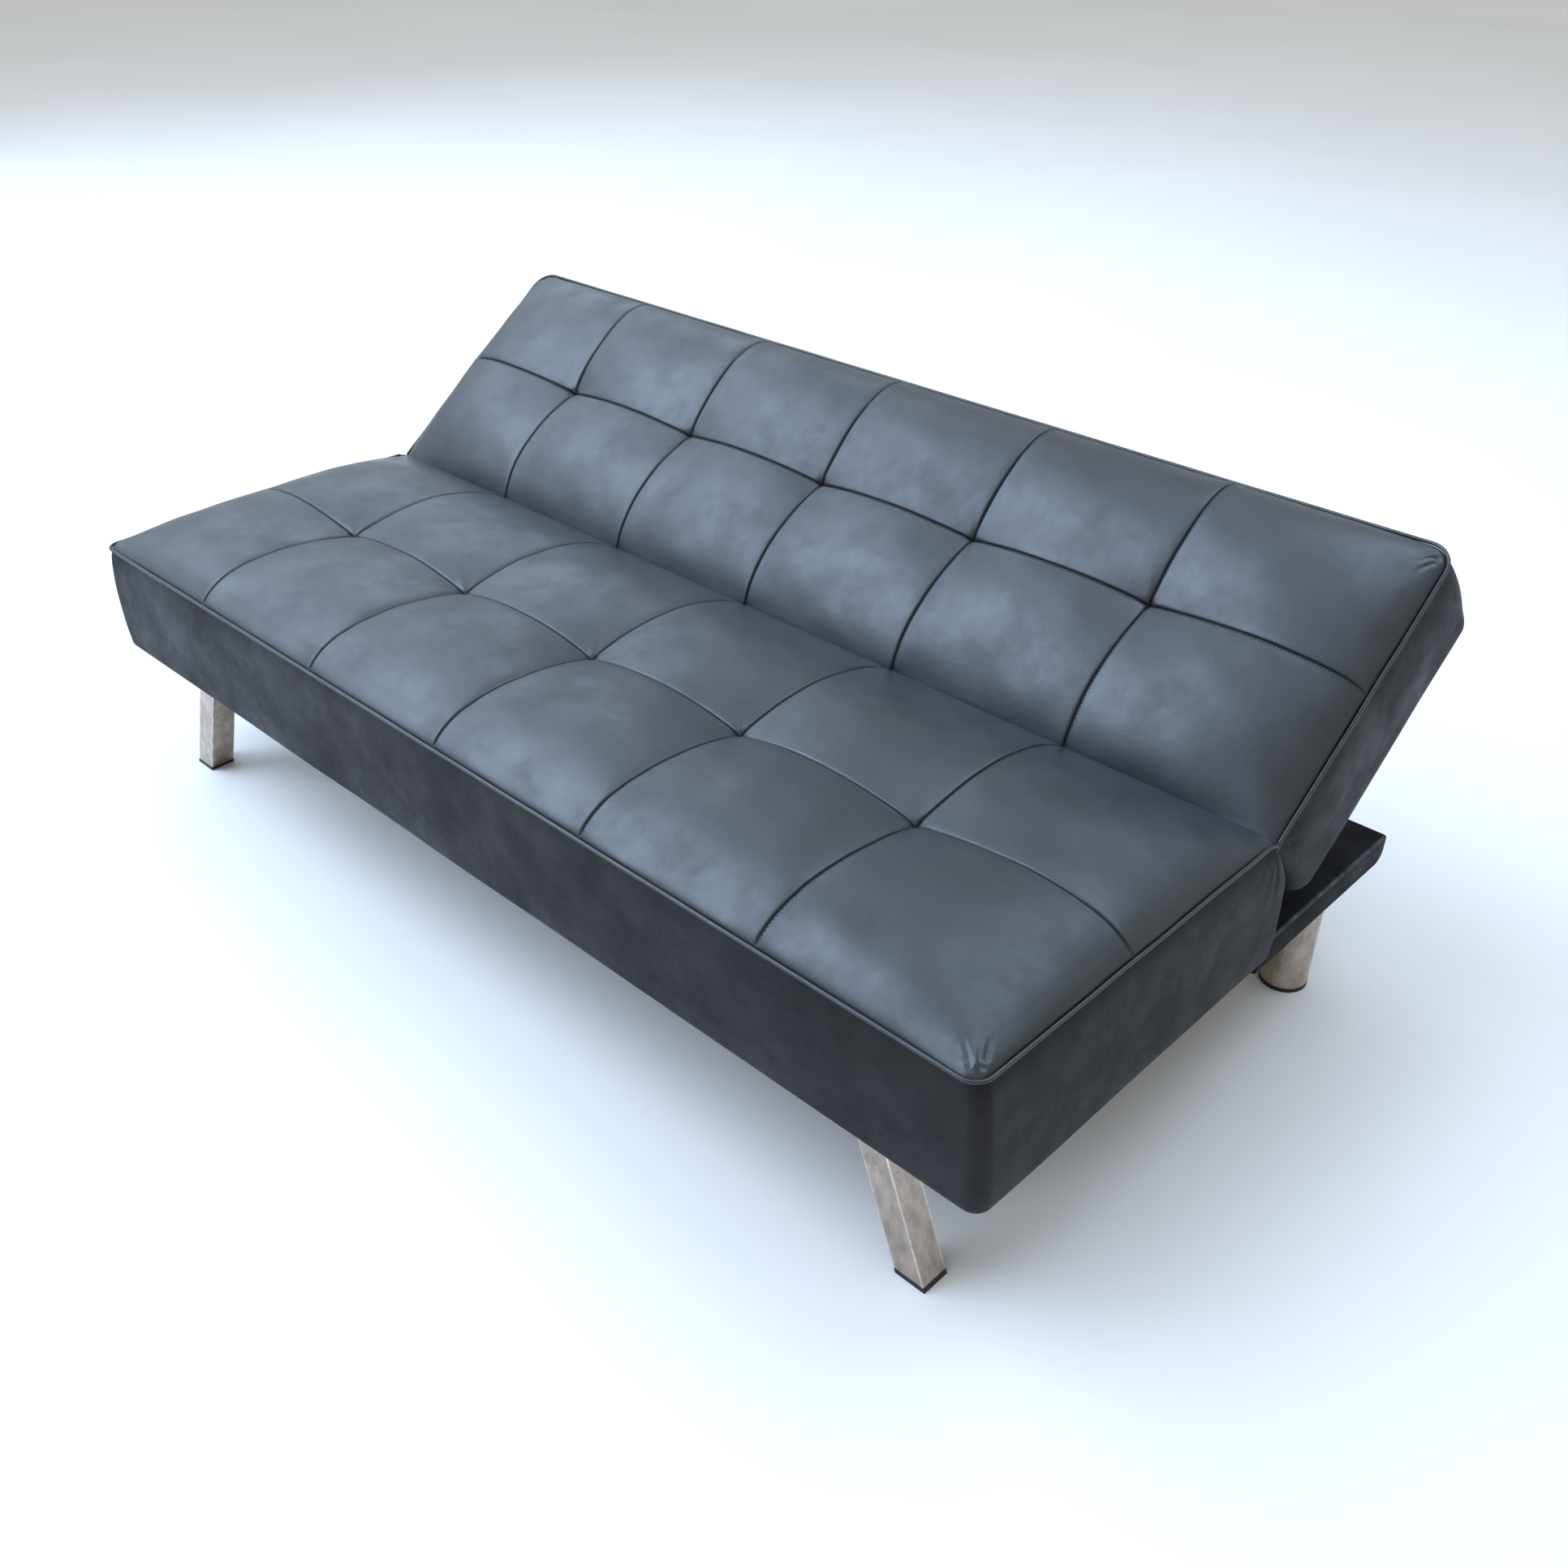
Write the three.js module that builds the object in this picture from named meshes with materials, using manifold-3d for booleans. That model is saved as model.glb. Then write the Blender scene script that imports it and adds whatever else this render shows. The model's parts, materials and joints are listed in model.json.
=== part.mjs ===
// A click-clack sofa bed: a tufted seat box on two splayed square legs, a rear board on two round
// legs, and a tufted backrest that swings from bed level to upright on a hinge at each end.
// Millimetres, +Z up, the seat's front faces -Y, "right" is +X, and the feet stand on Z = 0.
import * as THREE from 'three';
import { mergeVertices } from 'three/addons/utils/BufferGeometryUtils.js';
import Module from 'manifold-3d';

const wasm = await Module();
wasm.setup();

// ---- Driving dimensions ----
const HALF_LENGTH = 850; // to the welt at each end
const SIDES = { left: -1, right: 1 };
const GAP = 0.3; // between pieces that touch
const SKIN = 3; // the upholstery's thickness
const CROWN = 38; // the padding's rise above its welt
const BOXING_BULGE = 14; // how far the padded sides stand outside the welt
const WELT = { width: 5, clear: 0.5, base: 1, top: 7 }; // above and outside the ring it follows

const SEAT_BOTTOM = 204;
const SEAT_WELT = 378; // the seat's welt above the floor
const SEAT_DEPTH = 546; // front welt to the crease
const SEAT_REAR = 576;

const BACK_ANGLE = THREE.MathUtils.degToRad(37.2); // the lounging position, above level
const BACK_LENGTH = 432; // up the slope, crease to top welt
const BACK_THICKNESS = 150;
const CREASE_DROP = 12; // the back's lower welt below the seat's

const PIVOT = { y: 582, z: 320 }; // the hinge axis, below and behind the crease
const PIVOT_SHANK = 6; // radius
const PIVOT_LENGTH = 14;

const TIMBER = 22; // rail thickness
const SIDE_TIMBER = 20; // the end rails that the hinges are bolted to
const RAIL_INSET = 14; // the outer rails' faces behind the padded sides
const RAIL_BOTTOM = SEAT_BOTTOM + 4;
const RAIL_TOP = 300;
const REAR_RAIL = { front: 543, top: 262 };
const SIDE_RAIL_REAR = 566;
const BACK_RAILS = [12 - BACK_THICKNESS, 62 - BACK_THICKNESS]; // their depth behind the back's face
const BACK_TOP_INSET = 10; // the back's top rail below the welt
const FRONT_RAIL_HALF = HALF_LENGTH - RAIL_INSET;
const DUST_COVER = 2.5;
const DUST_COVER_RISE = 1; // above the seat's lower edge
const REAR_PANEL_RISE = 2; // in front of the back's rear edge

const PLATE = 4; // steel plate thickness
const SEAT_PLATE_X = 819.7; // middle of the hinge plate on the seat's side rail
const BACK_PLATE_X = SEAT_PLATE_X - PLATE - GAP;
const HINGE_SLOT = { middle: 815.7, half: 13 };
const SEAT_SLOT = { below: 40, above: 52, cover: [500, 640], padding: [440, 640] };
const BACK_SLOT = { below: 47, above: 36, cover: [-10, 70], padding: [-10, 190] };
const ARM = { pivot: 20, bolt: 16, end: 14 }; // radii of the hinge plates' rounded ends
const RATCHET_RADIUS = 26;
const NOTCH = { radius: 5, outside: 1 }; // cut into the ratchet's rim
const PAWL = { tip: 4, pin: 24, tail: 40, tipRadius: 3, tailRadius: 7 }; // outside the ratchet's rim
const SPRING = { radius: 2.6, wire: 0.6, turns: 6, offset: 2, anchorY: 470, anchorZ: 292, hook: 8 };
const BOLT = 4; // shank radius
const BOLT_HOLE = 4.4;
const RAIL_BOLT = 22; // length of the bolts that hold the hinges to the rails
const LOCKED_ANGLES = [-37.2, 0, 33]; // bed, lounging and upright, from the lounging position
const PAWL_SIDE = THREE.MathUtils.degToRad(200); // where the pawl sits round the pivot

const BOARD = { front: 580, rear: 920, top: 204, thickness: 42, half: 847, round: 20, wrap: 2 };
const BEARER = { x: 430, width: 45, front: 150, bolt: 90 };
const JOINING_PLATE = { front: 520, rear: 680, width: 60 };

const FRONT_LEG = { x: 762, y: 57, width: 41, depth: 39, wall: 1.5, splay: 0.39 };
const FLANGE = { x: 50, y: 32 }; // half sizes of the plate on a front leg
const REAR_LEG = { x: 798, y: 798, radius: 32, wall: 2, mount: 16 };
const LEG_SIDES = 32;
const FOOT_CAP = 6; // the cap's height below the tube
const PLUG = 14; // and inside it
const SOLE = 0.5; // how far the sole stands outside the tube
const BEYOND = 1000; // reaches past every edge when cutting a region away
const CREASE_STRIP = 45; // the piping is left off this close to the crease

// ---- Materials ----
const finish = (color, roughness, metalness = 0) => () =>
  new THREE.MeshStandardMaterial({ color, roughness, metalness });
const leather = finish(0x1c1f26, 0.5);
const piping = finish(0x15171c, 0.45);
const fabric = finish(0x111214, 0.95);
const foam = finish(0xd8cfa8, 0.95);
const timber = finish(0xb58c5a, 0.8);
const chrome = finish(0xb9b4ac, 0.2, 1);
const steel = finish(0x6e7176, 0.45, 0.9);
const plastic = finish(0x0c0c0d, 0.6);

// ---- Solids ----
function toManifold(geometry) {
  const bare = geometry.clone();
  bare.deleteAttribute('normal');
  bare.deleteAttribute('uv');
  const merged = mergeVertices(bare, 1e-3);
  return new wasm.Manifold(
    new wasm.Mesh({
      numProp: 3,
      vertProperties: merged.attributes.position.array,
      triVerts: new Uint32Array(merged.index.array),
    }),
  );
}

function toGeometry(solid) {
  const mesh = solid.getMesh();
  const geometry = new THREE.BufferGeometry();
  geometry.setAttribute('position', new THREE.BufferAttribute(mesh.vertProperties, 3));
  geometry.setIndex(new THREE.BufferAttribute(mesh.triVerts, 1));
  const flat = geometry.toNonIndexed();
  flat.computeVertexNormals();
  return flat;
}

function cut(body, ...tools) {
  return toGeometry(tools.reduce((solid, tool) => solid.subtract(toManifold(tool)), toManifold(body)));
}

function join(...bodies) {
  return toGeometry(bodies.map(toManifold).reduce((solid, next) => solid.add(next)));
}

function block(x, y, z) {
  const size = [x, y, z].map(([low, high]) => high - low);
  const middle = [x, y, z].map(([low, high]) => (low + high) / 2);
  return new THREE.BoxGeometry(...size).translate(...middle);
}

const around = (middle, half) => [middle - half, middle + half];

// A cylinder along Z from one height to another.
function post(x, y, [low, high], radius, sides = 24) {
  return new THREE.CylinderGeometry(radius, radius, high - low, sides)
    .rotateX(Math.PI / 2)
    .translate(x, y, (low + high) / 2);
}

// Extrudes a shape drawn in (Y, Z) to a thickness along X, centred on x.
function sidePlate(shape, thickness, x) {
  const cycle = new THREE.Matrix4().makeBasis(
    new THREE.Vector3(0, 1, 0),
    new THREE.Vector3(0, 0, 1),
    new THREE.Vector3(1, 0, 0),
  );
  return new THREE.ExtrudeGeometry(shape, { depth: thickness, bevelEnabled: false, curveSegments: 10 })
    .translate(0, 0, -thickness / 2)
    .applyMatrix4(cycle)
    .translate(x, 0, 0);
}

function addHole(shape, { y, z }, radius) {
  shape.holes.push(new THREE.Path().absarc(y, z, radius, 0, 2 * Math.PI, true));
}

// A flat arm whose outline wraps a circle at each end.
function armShape(a, radiusA, b, radiusB) {
  const along = Math.atan2(b.z - a.z, b.y - a.y);
  const lean = Math.acos((radiusA - radiusB) / Math.hypot(b.y - a.y, b.z - a.z));
  const shape = new THREE.Shape();
  shape.absarc(a.y, a.z, radiusA, along + lean, along - lean + 2 * Math.PI, false);
  shape.absarc(b.y, b.z, radiusB, along - lean, along + lean, false);
  shape.closePath();
  return shape;
}

function rectangleShape([y0, y1], [z0, z1]) {
  const corners = [[y0, z0], [y1, z0], [y1, z1], [y0, z1]];
  return new THREE.Shape(corners.map(([y, z]) => new THREE.Vector2(y, z)));
}

function polar(centre, radius, angle) {
  return { y: centre.y + radius * Math.cos(angle), z: centre.z + radius * Math.sin(angle) };
}

// ---- Cushion bodies: stacks of rounded rectangles ----
const CORNER_STEPS = 5;

function ringPoints({ height, front, rear, side, round }) {
  const corners = [[1, rear - round], [-1, rear - round], [-1, front + round], [1, front + round]];
  return corners.flatMap(([sign, y], corner) =>
    Array.from({ length: CORNER_STEPS + 1 }, (_, step) => {
      const angle = ((corner + step / CORNER_STEPS) * Math.PI) / 2;
      return [sign * (side - round) + round * Math.cos(angle), y + round * Math.sin(angle), height];
    }),
  );
}

function loft(rings) {
  const loops = rings.map(ringPoints);
  const count = loops[0].length;
  const top = (loops.length - 1) * count;
  const faces = [];
  for (let level = 0; level < top; level += count) {
    for (let i = 0; i < count; i++) {
      const j = (i + 1) % count;
      faces.push(level + i, level + j, level + count + j);
      faces.push(level + i, level + count + j, level + count + i);
    }
  }
  for (let i = 1; i < count - 1; i++) {
    faces.push(0, i + 1, i);
    faces.push(top, top + i, top + i + 1);
  }
  const geometry = new THREE.BufferGeometry();
  geometry.setAttribute('position', new THREE.Float32BufferAttribute(loops.flat(2), 3));
  geometry.setIndex(faces);
  return geometry.toNonIndexed();
}

// The same stack, drawn in from the sides and lowered, so its base drops below the first one's.
function inset(rings, by) {
  return rings.map(({ height, front, rear, side, round }) => ({
    height: height - by,
    front: front + by,
    rear: rear - by,
    side: side - by,
    round: round - by,
  }));
}

// An upholstery skin: the stack's outer surface, open at its base.
function skin(rings, ...openings) {
  return cut(loft(rings), loft(inset(rings, SKIN)), ...openings);
}

function padding(rings, base, ...openings) {
  const below = block([-BEYOND, BEYOND], [-BEYOND, BEYOND], [base - BEYOND, base]);
  return cut(loft(inset(rings, SKIN + GAP)), below, ...openings);
}

// A prism of the ring's outline, grown by a margin, between two rises above it.
function ringPrism(ring, margin, rises) {
  const [grown] = inset([ring], -margin);
  return loft(rises.map((rise) => ({ ...grown, height: ring.height + rise })));
}

// Piping round a ring of the stack, left off where the two cushions meet.
function welt(ring, nearCrease) {
  const outside = ringPrism(ring, WELT.width, [WELT.base, WELT.top]);
  const inside = ringPrism(ring, WELT.clear, [WELT.base - 1, WELT.top + 1]);
  return cut(outside, inside, nearCrease);
}

// The rear edge is cut back above the pivot, which leaves the back's lower edge room to swing.
const seatRings = [
  { height: SEAT_BOTTOM, front: 8, rear: SEAT_REAR, side: HALF_LENGTH + 8, round: 24 },
  { height: 288, front: -2, rear: SEAT_REAR, side: HALF_LENGTH + BOXING_BULGE, round: 27 },
  { height: PIVOT.z - 2, front: -2, rear: SEAT_REAR - 2, side: HALF_LENGTH + 12, round: 26 },
  { height: 334, front: -1, rear: 542, side: HALF_LENGTH + 10, round: 25 },
  { height: 356, front: 0, rear: 508, side: HALF_LENGTH + 5, round: 23 },
  { height: SEAT_WELT, front: 0, rear: 496, side: HALF_LENGTH, round: 20 },
  { height: SEAT_WELT + 22, front: 25, rear: 476, side: HALF_LENGTH - 24, round: 36 },
  { height: SEAT_WELT + CROWN, front: 60, rear: 446, side: HALF_LENGTH - 60, round: 52 },
];

// In the back's own frame: front is its lower end at the crease, height runs out of its face.
const backRings = [
  { height: -BACK_THICKNESS, front: 4, rear: BACK_LENGTH - 10, side: HALF_LENGTH, round: 34 },
  { height: 14 - BACK_THICKNESS, front: 0, rear: BACK_LENGTH + 2, side: HALF_LENGTH + 7, round: 38 },
  { height: -75, front: 1, rear: BACK_LENGTH + 6, side: HALF_LENGTH + 9, round: 42 },
  { height: -25, front: 7, rear: BACK_LENGTH + 4, side: HALF_LENGTH + 5, round: 44 },
  { height: 0, front: 16, rear: BACK_LENGTH, side: HALF_LENGTH, round: 44 },
  { height: 25, front: 44, rear: BACK_LENGTH - 25, side: HALF_LENGTH - 24, round: 60 },
  { height: CROWN, front: 85, rear: BACK_LENGTH - 60, side: HALF_LENGTH - 60, round: 66 },
];

// ---- Hardware ----
// A domed bolt or rivet along X: its head is on the inner side and its shank points outwards.
function crossBolt(sign, x, { y, z }, shank, length, head = 2 * shank) {
  return boltAlongY(shank, length, head)
    .rotateZ((sign * Math.PI) / 2)
    .translate(sign * x, y, z);
}

function boltAlongY(shank, length, head) {
  const rise = 0.6 * head;
  const profile = [[0, -length], [shank, -length], [shank, 0], [head, 0], [0.7 * head, rise], [0, rise]];
  return new THREE.LatheGeometry(profile.map(([radius, y]) => new THREE.Vector2(radius, y)), 16);
}

class Coil extends THREE.Curve {
  constructor(start, end, radius, turns) {
    super();
    Object.assign(this, { start, end, radius, turns });
    this.across = new THREE.Vector3(1, 0, 0);
    this.up = new THREE.Vector3().subVectors(end, start).cross(this.across).normalize();
  }

  getPoint(t, target = new THREE.Vector3()) {
    const angle = 2 * Math.PI * this.turns * t;
    return target
      .lerpVectors(this.start, this.end, t)
      .addScaledVector(this.across, this.radius * Math.cos(angle))
      .addScaledVector(this.up, this.radius * Math.sin(angle));
  }
}

function wire(path, radius, steps) {
  const section = new THREE.Shape(
    Array.from({ length: 6 }, (_, i) => {
      const angle = (i * Math.PI) / 3;
      return new THREE.Vector2(radius * Math.cos(angle), radius * Math.sin(angle));
    }),
  );
  return new THREE.ExtrudeGeometry(section, { steps, extrudePath: path, bevelEnabled: false });
}

// ---- Assembly ----
function add(parent, name, geometry, material) {
  const mesh = new THREE.Mesh(geometry, material());
  mesh.name = name;
  parent.add(mesh);
}

const sofa = new THREE.Group();
const back = new THREE.Group();
back.position.set(0, SEAT_DEPTH, SEAT_WELT - CREASE_DROP);
back.rotation.x = BACK_ANGLE;
sofa.add(back);

// The pivot in the back's own frame.
const offset = new THREE.Vector2(PIVOT.y - SEAT_DEPTH, PIVOT.z - SEAT_WELT + CREASE_DROP);
offset.rotateAround(new THREE.Vector2(), -BACK_ANGLE);
const BACK_PIVOT = { y: offset.x, z: offset.y };

const SIDE_RAIL = HALF_LENGTH - 28; // inner face of the seat's side rails
const BACK_SIDE_RAIL = BACK_PLATE_X + PLATE / 2 + GAP;
const SEAT_BOLTS = [{ y: 470, z: 257 }, { y: 410, z: 249 }];
const BACK_BOLTS = [{ y: 80, z: -112 }, { y: 130, z: -112 }];
const BEARER_BOLT_Y = REAR_RAIL.front + TIMBER / 2;
const BOARD_BOTTOM = BOARD.top - BOARD.thickness;

// Slots across the hinges, cut through a cover, or deeper to make room in the padding.
function hingeSlots(y, pivotHeight, { below, above }) {
  const z = [pivotHeight - below, pivotHeight + above];
  return Object.values(SIDES).map((sign) => block(around(sign * HINGE_SLOT.middle, HINGE_SLOT.half), y, z));
}

function bearerHoles(height) {
  return Object.values(SIDES).map((sign) => post(sign * BEARER.x, BEARER_BOLT_Y, height, BOLT_HOLE));
}

function seatFrame() {
  const height = [RAIL_BOTTOM, RAIL_TOP];
  const frontRail = [RAIL_INSET, RAIL_INSET + TIMBER];
  add(sofa, 'seat_front_rail', block([-FRONT_RAIL_HALF, FRONT_RAIL_HALF], frontRail, height), timber);
  const rearRail = block(
    [GAP - SIDE_RAIL, SIDE_RAIL - GAP],
    [REAR_RAIL.front, REAR_RAIL.front + TIMBER],
    [RAIL_BOTTOM, REAR_RAIL.top],
  );
  add(sofa, 'seat_rear_rail', cut(rearRail, ...bearerHoles([RAIL_BOTTOM - 1, REAR_RAIL.top - 10])), timber);
  for (const [side, sign] of Object.entries(SIDES)) {
    const outline = rectangleShape([frontRail[1] + GAP, SIDE_RAIL_REAR], height);
    SEAT_BOLTS.forEach((bolt) => addHole(outline, bolt, BOLT_HOLE));
    const x = sign * (SIDE_RAIL + SIDE_TIMBER / 2);
    add(sofa, `seat_${side}_rail`, sidePlate(outline, SIDE_TIMBER, x), timber);
  }
  const ribs = { left: -BEARER.x, center: 0, right: BEARER.x };
  for (const [place, x] of Object.entries(ribs)) {
    const rib = block(around(x, TIMBER / 2), [frontRail[1] + GAP, REAR_RAIL.front - GAP], height);
    add(sofa, `seat_rib_${place}`, rib, timber);
  }
}

function seatUpholstery() {
  const pockets = hingeSlots(SEAT_SLOT.padding, PIVOT.z, SEAT_SLOT);
  add(sofa, 'seat_foam', padding(seatRings, RAIL_TOP + GAP, ...pockets), foam);
  const slots = hingeSlots(SEAT_SLOT.cover, PIVOT.z, SEAT_SLOT);
  add(sofa, 'seat_cover', skin(seatRings, ...slots), leather);
  const weltRing = seatRings.find((ring) => ring.height === SEAT_WELT);
  const nearCrease = block([-BEYOND, BEYOND], [weltRing.rear - CREASE_STRIP, BEYOND], [0, BEYOND]);
  add(sofa, 'seat_welt', welt(weltRing, nearCrease), piping);
  const panel = { ...inset(seatRings, SKIN + GAP)[0], height: SEAT_BOTTOM + DUST_COVER_RISE };
  const dustCover = loft([panel, { ...panel, height: panel.height + DUST_COVER }]);
  const holes = bearerHoles([SEAT_BOTTOM, SEAT_BOTTOM + 2 * DUST_COVER]);
  add(sofa, 'seat_dust_cover', cut(dustCover, ...holes), fabric);
}

function boardProfile({ front, rear, top, bottom, round }) {
  const shape = new THREE.Shape();
  shape.moveTo(front, bottom);
  shape.lineTo(rear - round, bottom);
  shape.absarc(rear - round, bottom + round, round, -Math.PI / 2, 0, false);
  shape.lineTo(rear, top);
  shape.lineTo(front, top);
  shape.closePath();
  return shape;
}

function rearBoard() {
  const inside = BOARD.wrap + GAP;
  const core = {
    front: BOARD.front + inside,
    rear: BOARD.rear - inside,
    top: BOARD.top - inside,
    bottom: BOARD_BOTTOM,
    round: BOARD.round - inside,
  };
  const half = BOARD.half - inside;
  add(sofa, 'rear_board', sidePlate(boardProfile(core), 2 * half, 0), timber);
  const outer = sidePlate(boardProfile({ ...BOARD, bottom: BOARD_BOTTOM }), 2 * BOARD.half, 0);
  const hollow = {
    front: core.front - GAP,
    rear: core.rear + GAP,
    top: core.top + GAP,
    bottom: BOARD_BOTTOM - GAP,
    round: core.round + GAP,
  };
  const openingHeight = around(BOARD_BOTTOM, 2 * BOARD.wrap);
  const opening = block([-half, half], [core.front, core.rear - BOARD.round], openingHeight);
  const inner = sidePlate(boardProfile(hollow), 2 * (half + GAP), 0);
  add(sofa, 'rear_board_wrap', cut(outer, inner, opening), leather);
}

function boardSupports() {
  const plateHeight = [BOARD_BOTTOM - GAP - PLATE, BOARD_BOTTOM - GAP];
  const bearerHeight = [BOARD_BOTTOM, SEAT_BOTTOM - GAP];
  const holes = bearerHoles([plateHeight[0] - 1, SEAT_BOTTOM + 1]);
  for (const [side, sign] of Object.entries(SIDES)) {
    const x = sign * BEARER.x;
    const bearer = block(around(x, BEARER.width / 2), [BEARER.front, BOARD.front - GAP], bearerHeight);
    add(sofa, `base_bearer_${side}`, cut(bearer, ...holes), timber);
    const span = [JOINING_PLATE.front, JOINING_PLATE.rear];
    const plate = block(around(x, JOINING_PLATE.width / 2), span, plateHeight);
    add(sofa, `joining_plate_${side}`, cut(plate, ...holes), steel);
    const bolt = boltAlongY(BOLT, BEARER.bolt, 2 * BOLT)
      .rotateX(-Math.PI / 2)
      .translate(x, BEARER_BOLT_Y, plateHeight[0] - GAP);
    add(sofa, `bearer_bolt_${side}`, bolt, steel);
  }
}

// A straight-cut prism that leans inwards by the splay as it rises.
function splayed(sign, [low, high], shrink = 0) {
  const { x, y, width, depth, splay } = FRONT_LEG;
  const upright = block(around(0, width / 2 - shrink), around(0, depth / 2 - shrink), [low, high]);
  const lean = new THREE.Matrix4().makeShear(0, 0, 0, 0, -sign * splay, 0);
  return upright.applyMatrix4(lean).translate(sign * x, y, 0);
}

function frontLegs() {
  const flange = { bottom: SEAT_BOTTOM - GAP - PLATE, top: SEAT_BOTTOM - GAP };
  const legTop = flange.bottom - GAP;
  for (const [side, sign] of Object.entries(SIDES)) {
    const outer = splayed(sign, [FOOT_CAP, legTop]);
    const bore = splayed(sign, [FOOT_CAP - 1, legTop + 1], FRONT_LEG.wall);
    add(sofa, `front_leg_${side}`, cut(outer, bore), chrome);
    const head = sign * (FRONT_LEG.x - FRONT_LEG.splay * legTop);
    const plate = block(around(head, FLANGE.x), around(FRONT_LEG.y, FLANGE.y), [flange.bottom, flange.top]);
    add(sofa, `front_leg_flange_${side}`, plate, steel);
    const sole = splayed(sign, [0, FOOT_CAP - GAP], -SOLE);
    const plug = splayed(sign, [FOOT_CAP - 1, FOOT_CAP + PLUG], FRONT_LEG.wall + GAP);
    add(sofa, `front_foot_cap_${side}`, join(sole, plug), plastic);
  }
}

function rearLegs() {
  const { y, radius, wall, mount } = REAR_LEG;
  const top = BOARD_BOTTOM - GAP;
  const inside = radius - wall - GAP;
  for (const [side, sign] of Object.entries(SIDES)) {
    const x = sign * REAR_LEG.x;
    const bore = post(x, y, [FOOT_CAP - 1, top + 1], radius - wall, LEG_SIDES);
    add(sofa, `rear_leg_${side}`, cut(post(x, y, [FOOT_CAP, top], radius, LEG_SIDES), bore), chrome);
    add(sofa, `rear_leg_mount_${side}`, post(x, y, [top - mount, top], inside, LEG_SIDES), steel);
    const sole = post(x, y, [0, FOOT_CAP - GAP], radius + SOLE, LEG_SIDES);
    const plug = post(x, y, [FOOT_CAP - 1, FOOT_CAP + PLUG], inside, LEG_SIDES);
    add(sofa, `rear_foot_cap_${side}`, join(sole, plug), plastic);
  }
}

function backFrame() {
  const railTop = BACK_LENGTH - BACK_TOP_INSET;
  const rails = { bottom: [RAIL_INSET, RAIL_INSET + TIMBER], top: [railTop - TIMBER, railTop] };
  const inner = BACK_PLATE_X - PLATE / 2 - GAP;
  for (const [place, span] of Object.entries(rails)) {
    add(back, `back_${place}_rail`, block([-inner, inner], span, BACK_RAILS), timber);
  }
  for (const [side, sign] of Object.entries(SIDES)) {
    const outline = rectangleShape([rails.bottom[0], rails.top[1]], BACK_RAILS);
    BACK_BOLTS.forEach((bolt) => addHole(outline, bolt, BOLT_HOLE));
    const x = sign * (BACK_SIDE_RAIL + SIDE_TIMBER / 2);
    add(back, `back_${side}_rail`, sidePlate(outline, SIDE_TIMBER, x), timber);
  }
  const rib = block([-TIMBER / 2, TIMBER / 2], [rails.bottom[1] + GAP, rails.top[0] - GAP], BACK_RAILS);
  add(back, 'back_rib', rib, timber);
}

function backUpholstery() {
  const pockets = hingeSlots(BACK_SLOT.padding, BACK_PIVOT.z, BACK_SLOT);
  add(back, 'back_foam', padding(backRings, BACK_RAILS[1] + GAP, ...pockets), foam);
  const slots = hingeSlots(BACK_SLOT.cover, BACK_PIVOT.z, BACK_SLOT);
  add(back, 'back_cover', skin(backRings, ...slots), leather);
  const weltRing = backRings.find((ring) => ring.height === 0);
  const nearCrease = block([-BEYOND, BEYOND], [-BEYOND, weltRing.front + CREASE_STRIP], [-BEYOND, BEYOND]);
  add(back, 'back_welt', welt(weltRing, nearCrease), piping);
  const panel = { ...inset(backRings, SKIN + GAP)[0], height: REAR_PANEL_RISE - BACK_THICKNESS };
  const rearPanel = loft([panel, { ...panel, height: panel.height + DUST_COVER }]);
  add(back, 'back_rear_panel', rearPanel, fabric);
}

function pinHole({ y, z }, radius, x) {
  return new THREE.CylinderGeometry(radius, radius, 4 * PLATE, 24)
    .rotateZ(Math.PI / 2)
    .translate(x, y, z);
}

// A flat plate of two arms, from the pivot to one bolt and on to the next, with a hole at each.
function hingePlate(pivot, pivotRadius, bolts, x) {
  const arm = sidePlate(armShape(pivot, pivotRadius, bolts[0], ARM.bolt), PLATE, x);
  const tail = sidePlate(armShape(bolts[0], ARM.bolt, bolts[1], ARM.end), PLATE, x);
  const holes = bolts.map((bolt) => pinHole(bolt, BOLT_HOLE, x));
  return cut(join(arm, tail), ...holes, pinHole(pivot, PIVOT_SHANK + BOLT_HOLE - BOLT, x));
}

function hingePlates(side, sign) {
  const seatX = sign * SEAT_PLATE_X;
  const seatPlate = hingePlate(PIVOT, ARM.pivot, SEAT_BOLTS, seatX);
  add(sofa, `hinge_seat_plate_${side}`, cut(seatPlate, pinHole(pawlPin(), BOLT_HOLE, seatX)), steel);

  const backX = sign * BACK_PLATE_X;
  const backPlate = hingePlate(BACK_PIVOT, RATCHET_RADIUS, BACK_BOLTS, backX);
  const notches = LOCKED_ANGLES.map((angle) => {
    const facing = PAWL_SIDE - BACK_ANGLE - THREE.MathUtils.degToRad(angle);
    return pinHole(polar(BACK_PIVOT, RATCHET_RADIUS + NOTCH.outside, facing), NOTCH.radius, backX);
  });
  add(back, `hinge_back_plate_${side}`, cut(backPlate, ...notches), steel);
}

function pawlPin() {
  return polar(PIVOT, RATCHET_RADIUS + PAWL.pin, PAWL_SIDE);
}

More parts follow.
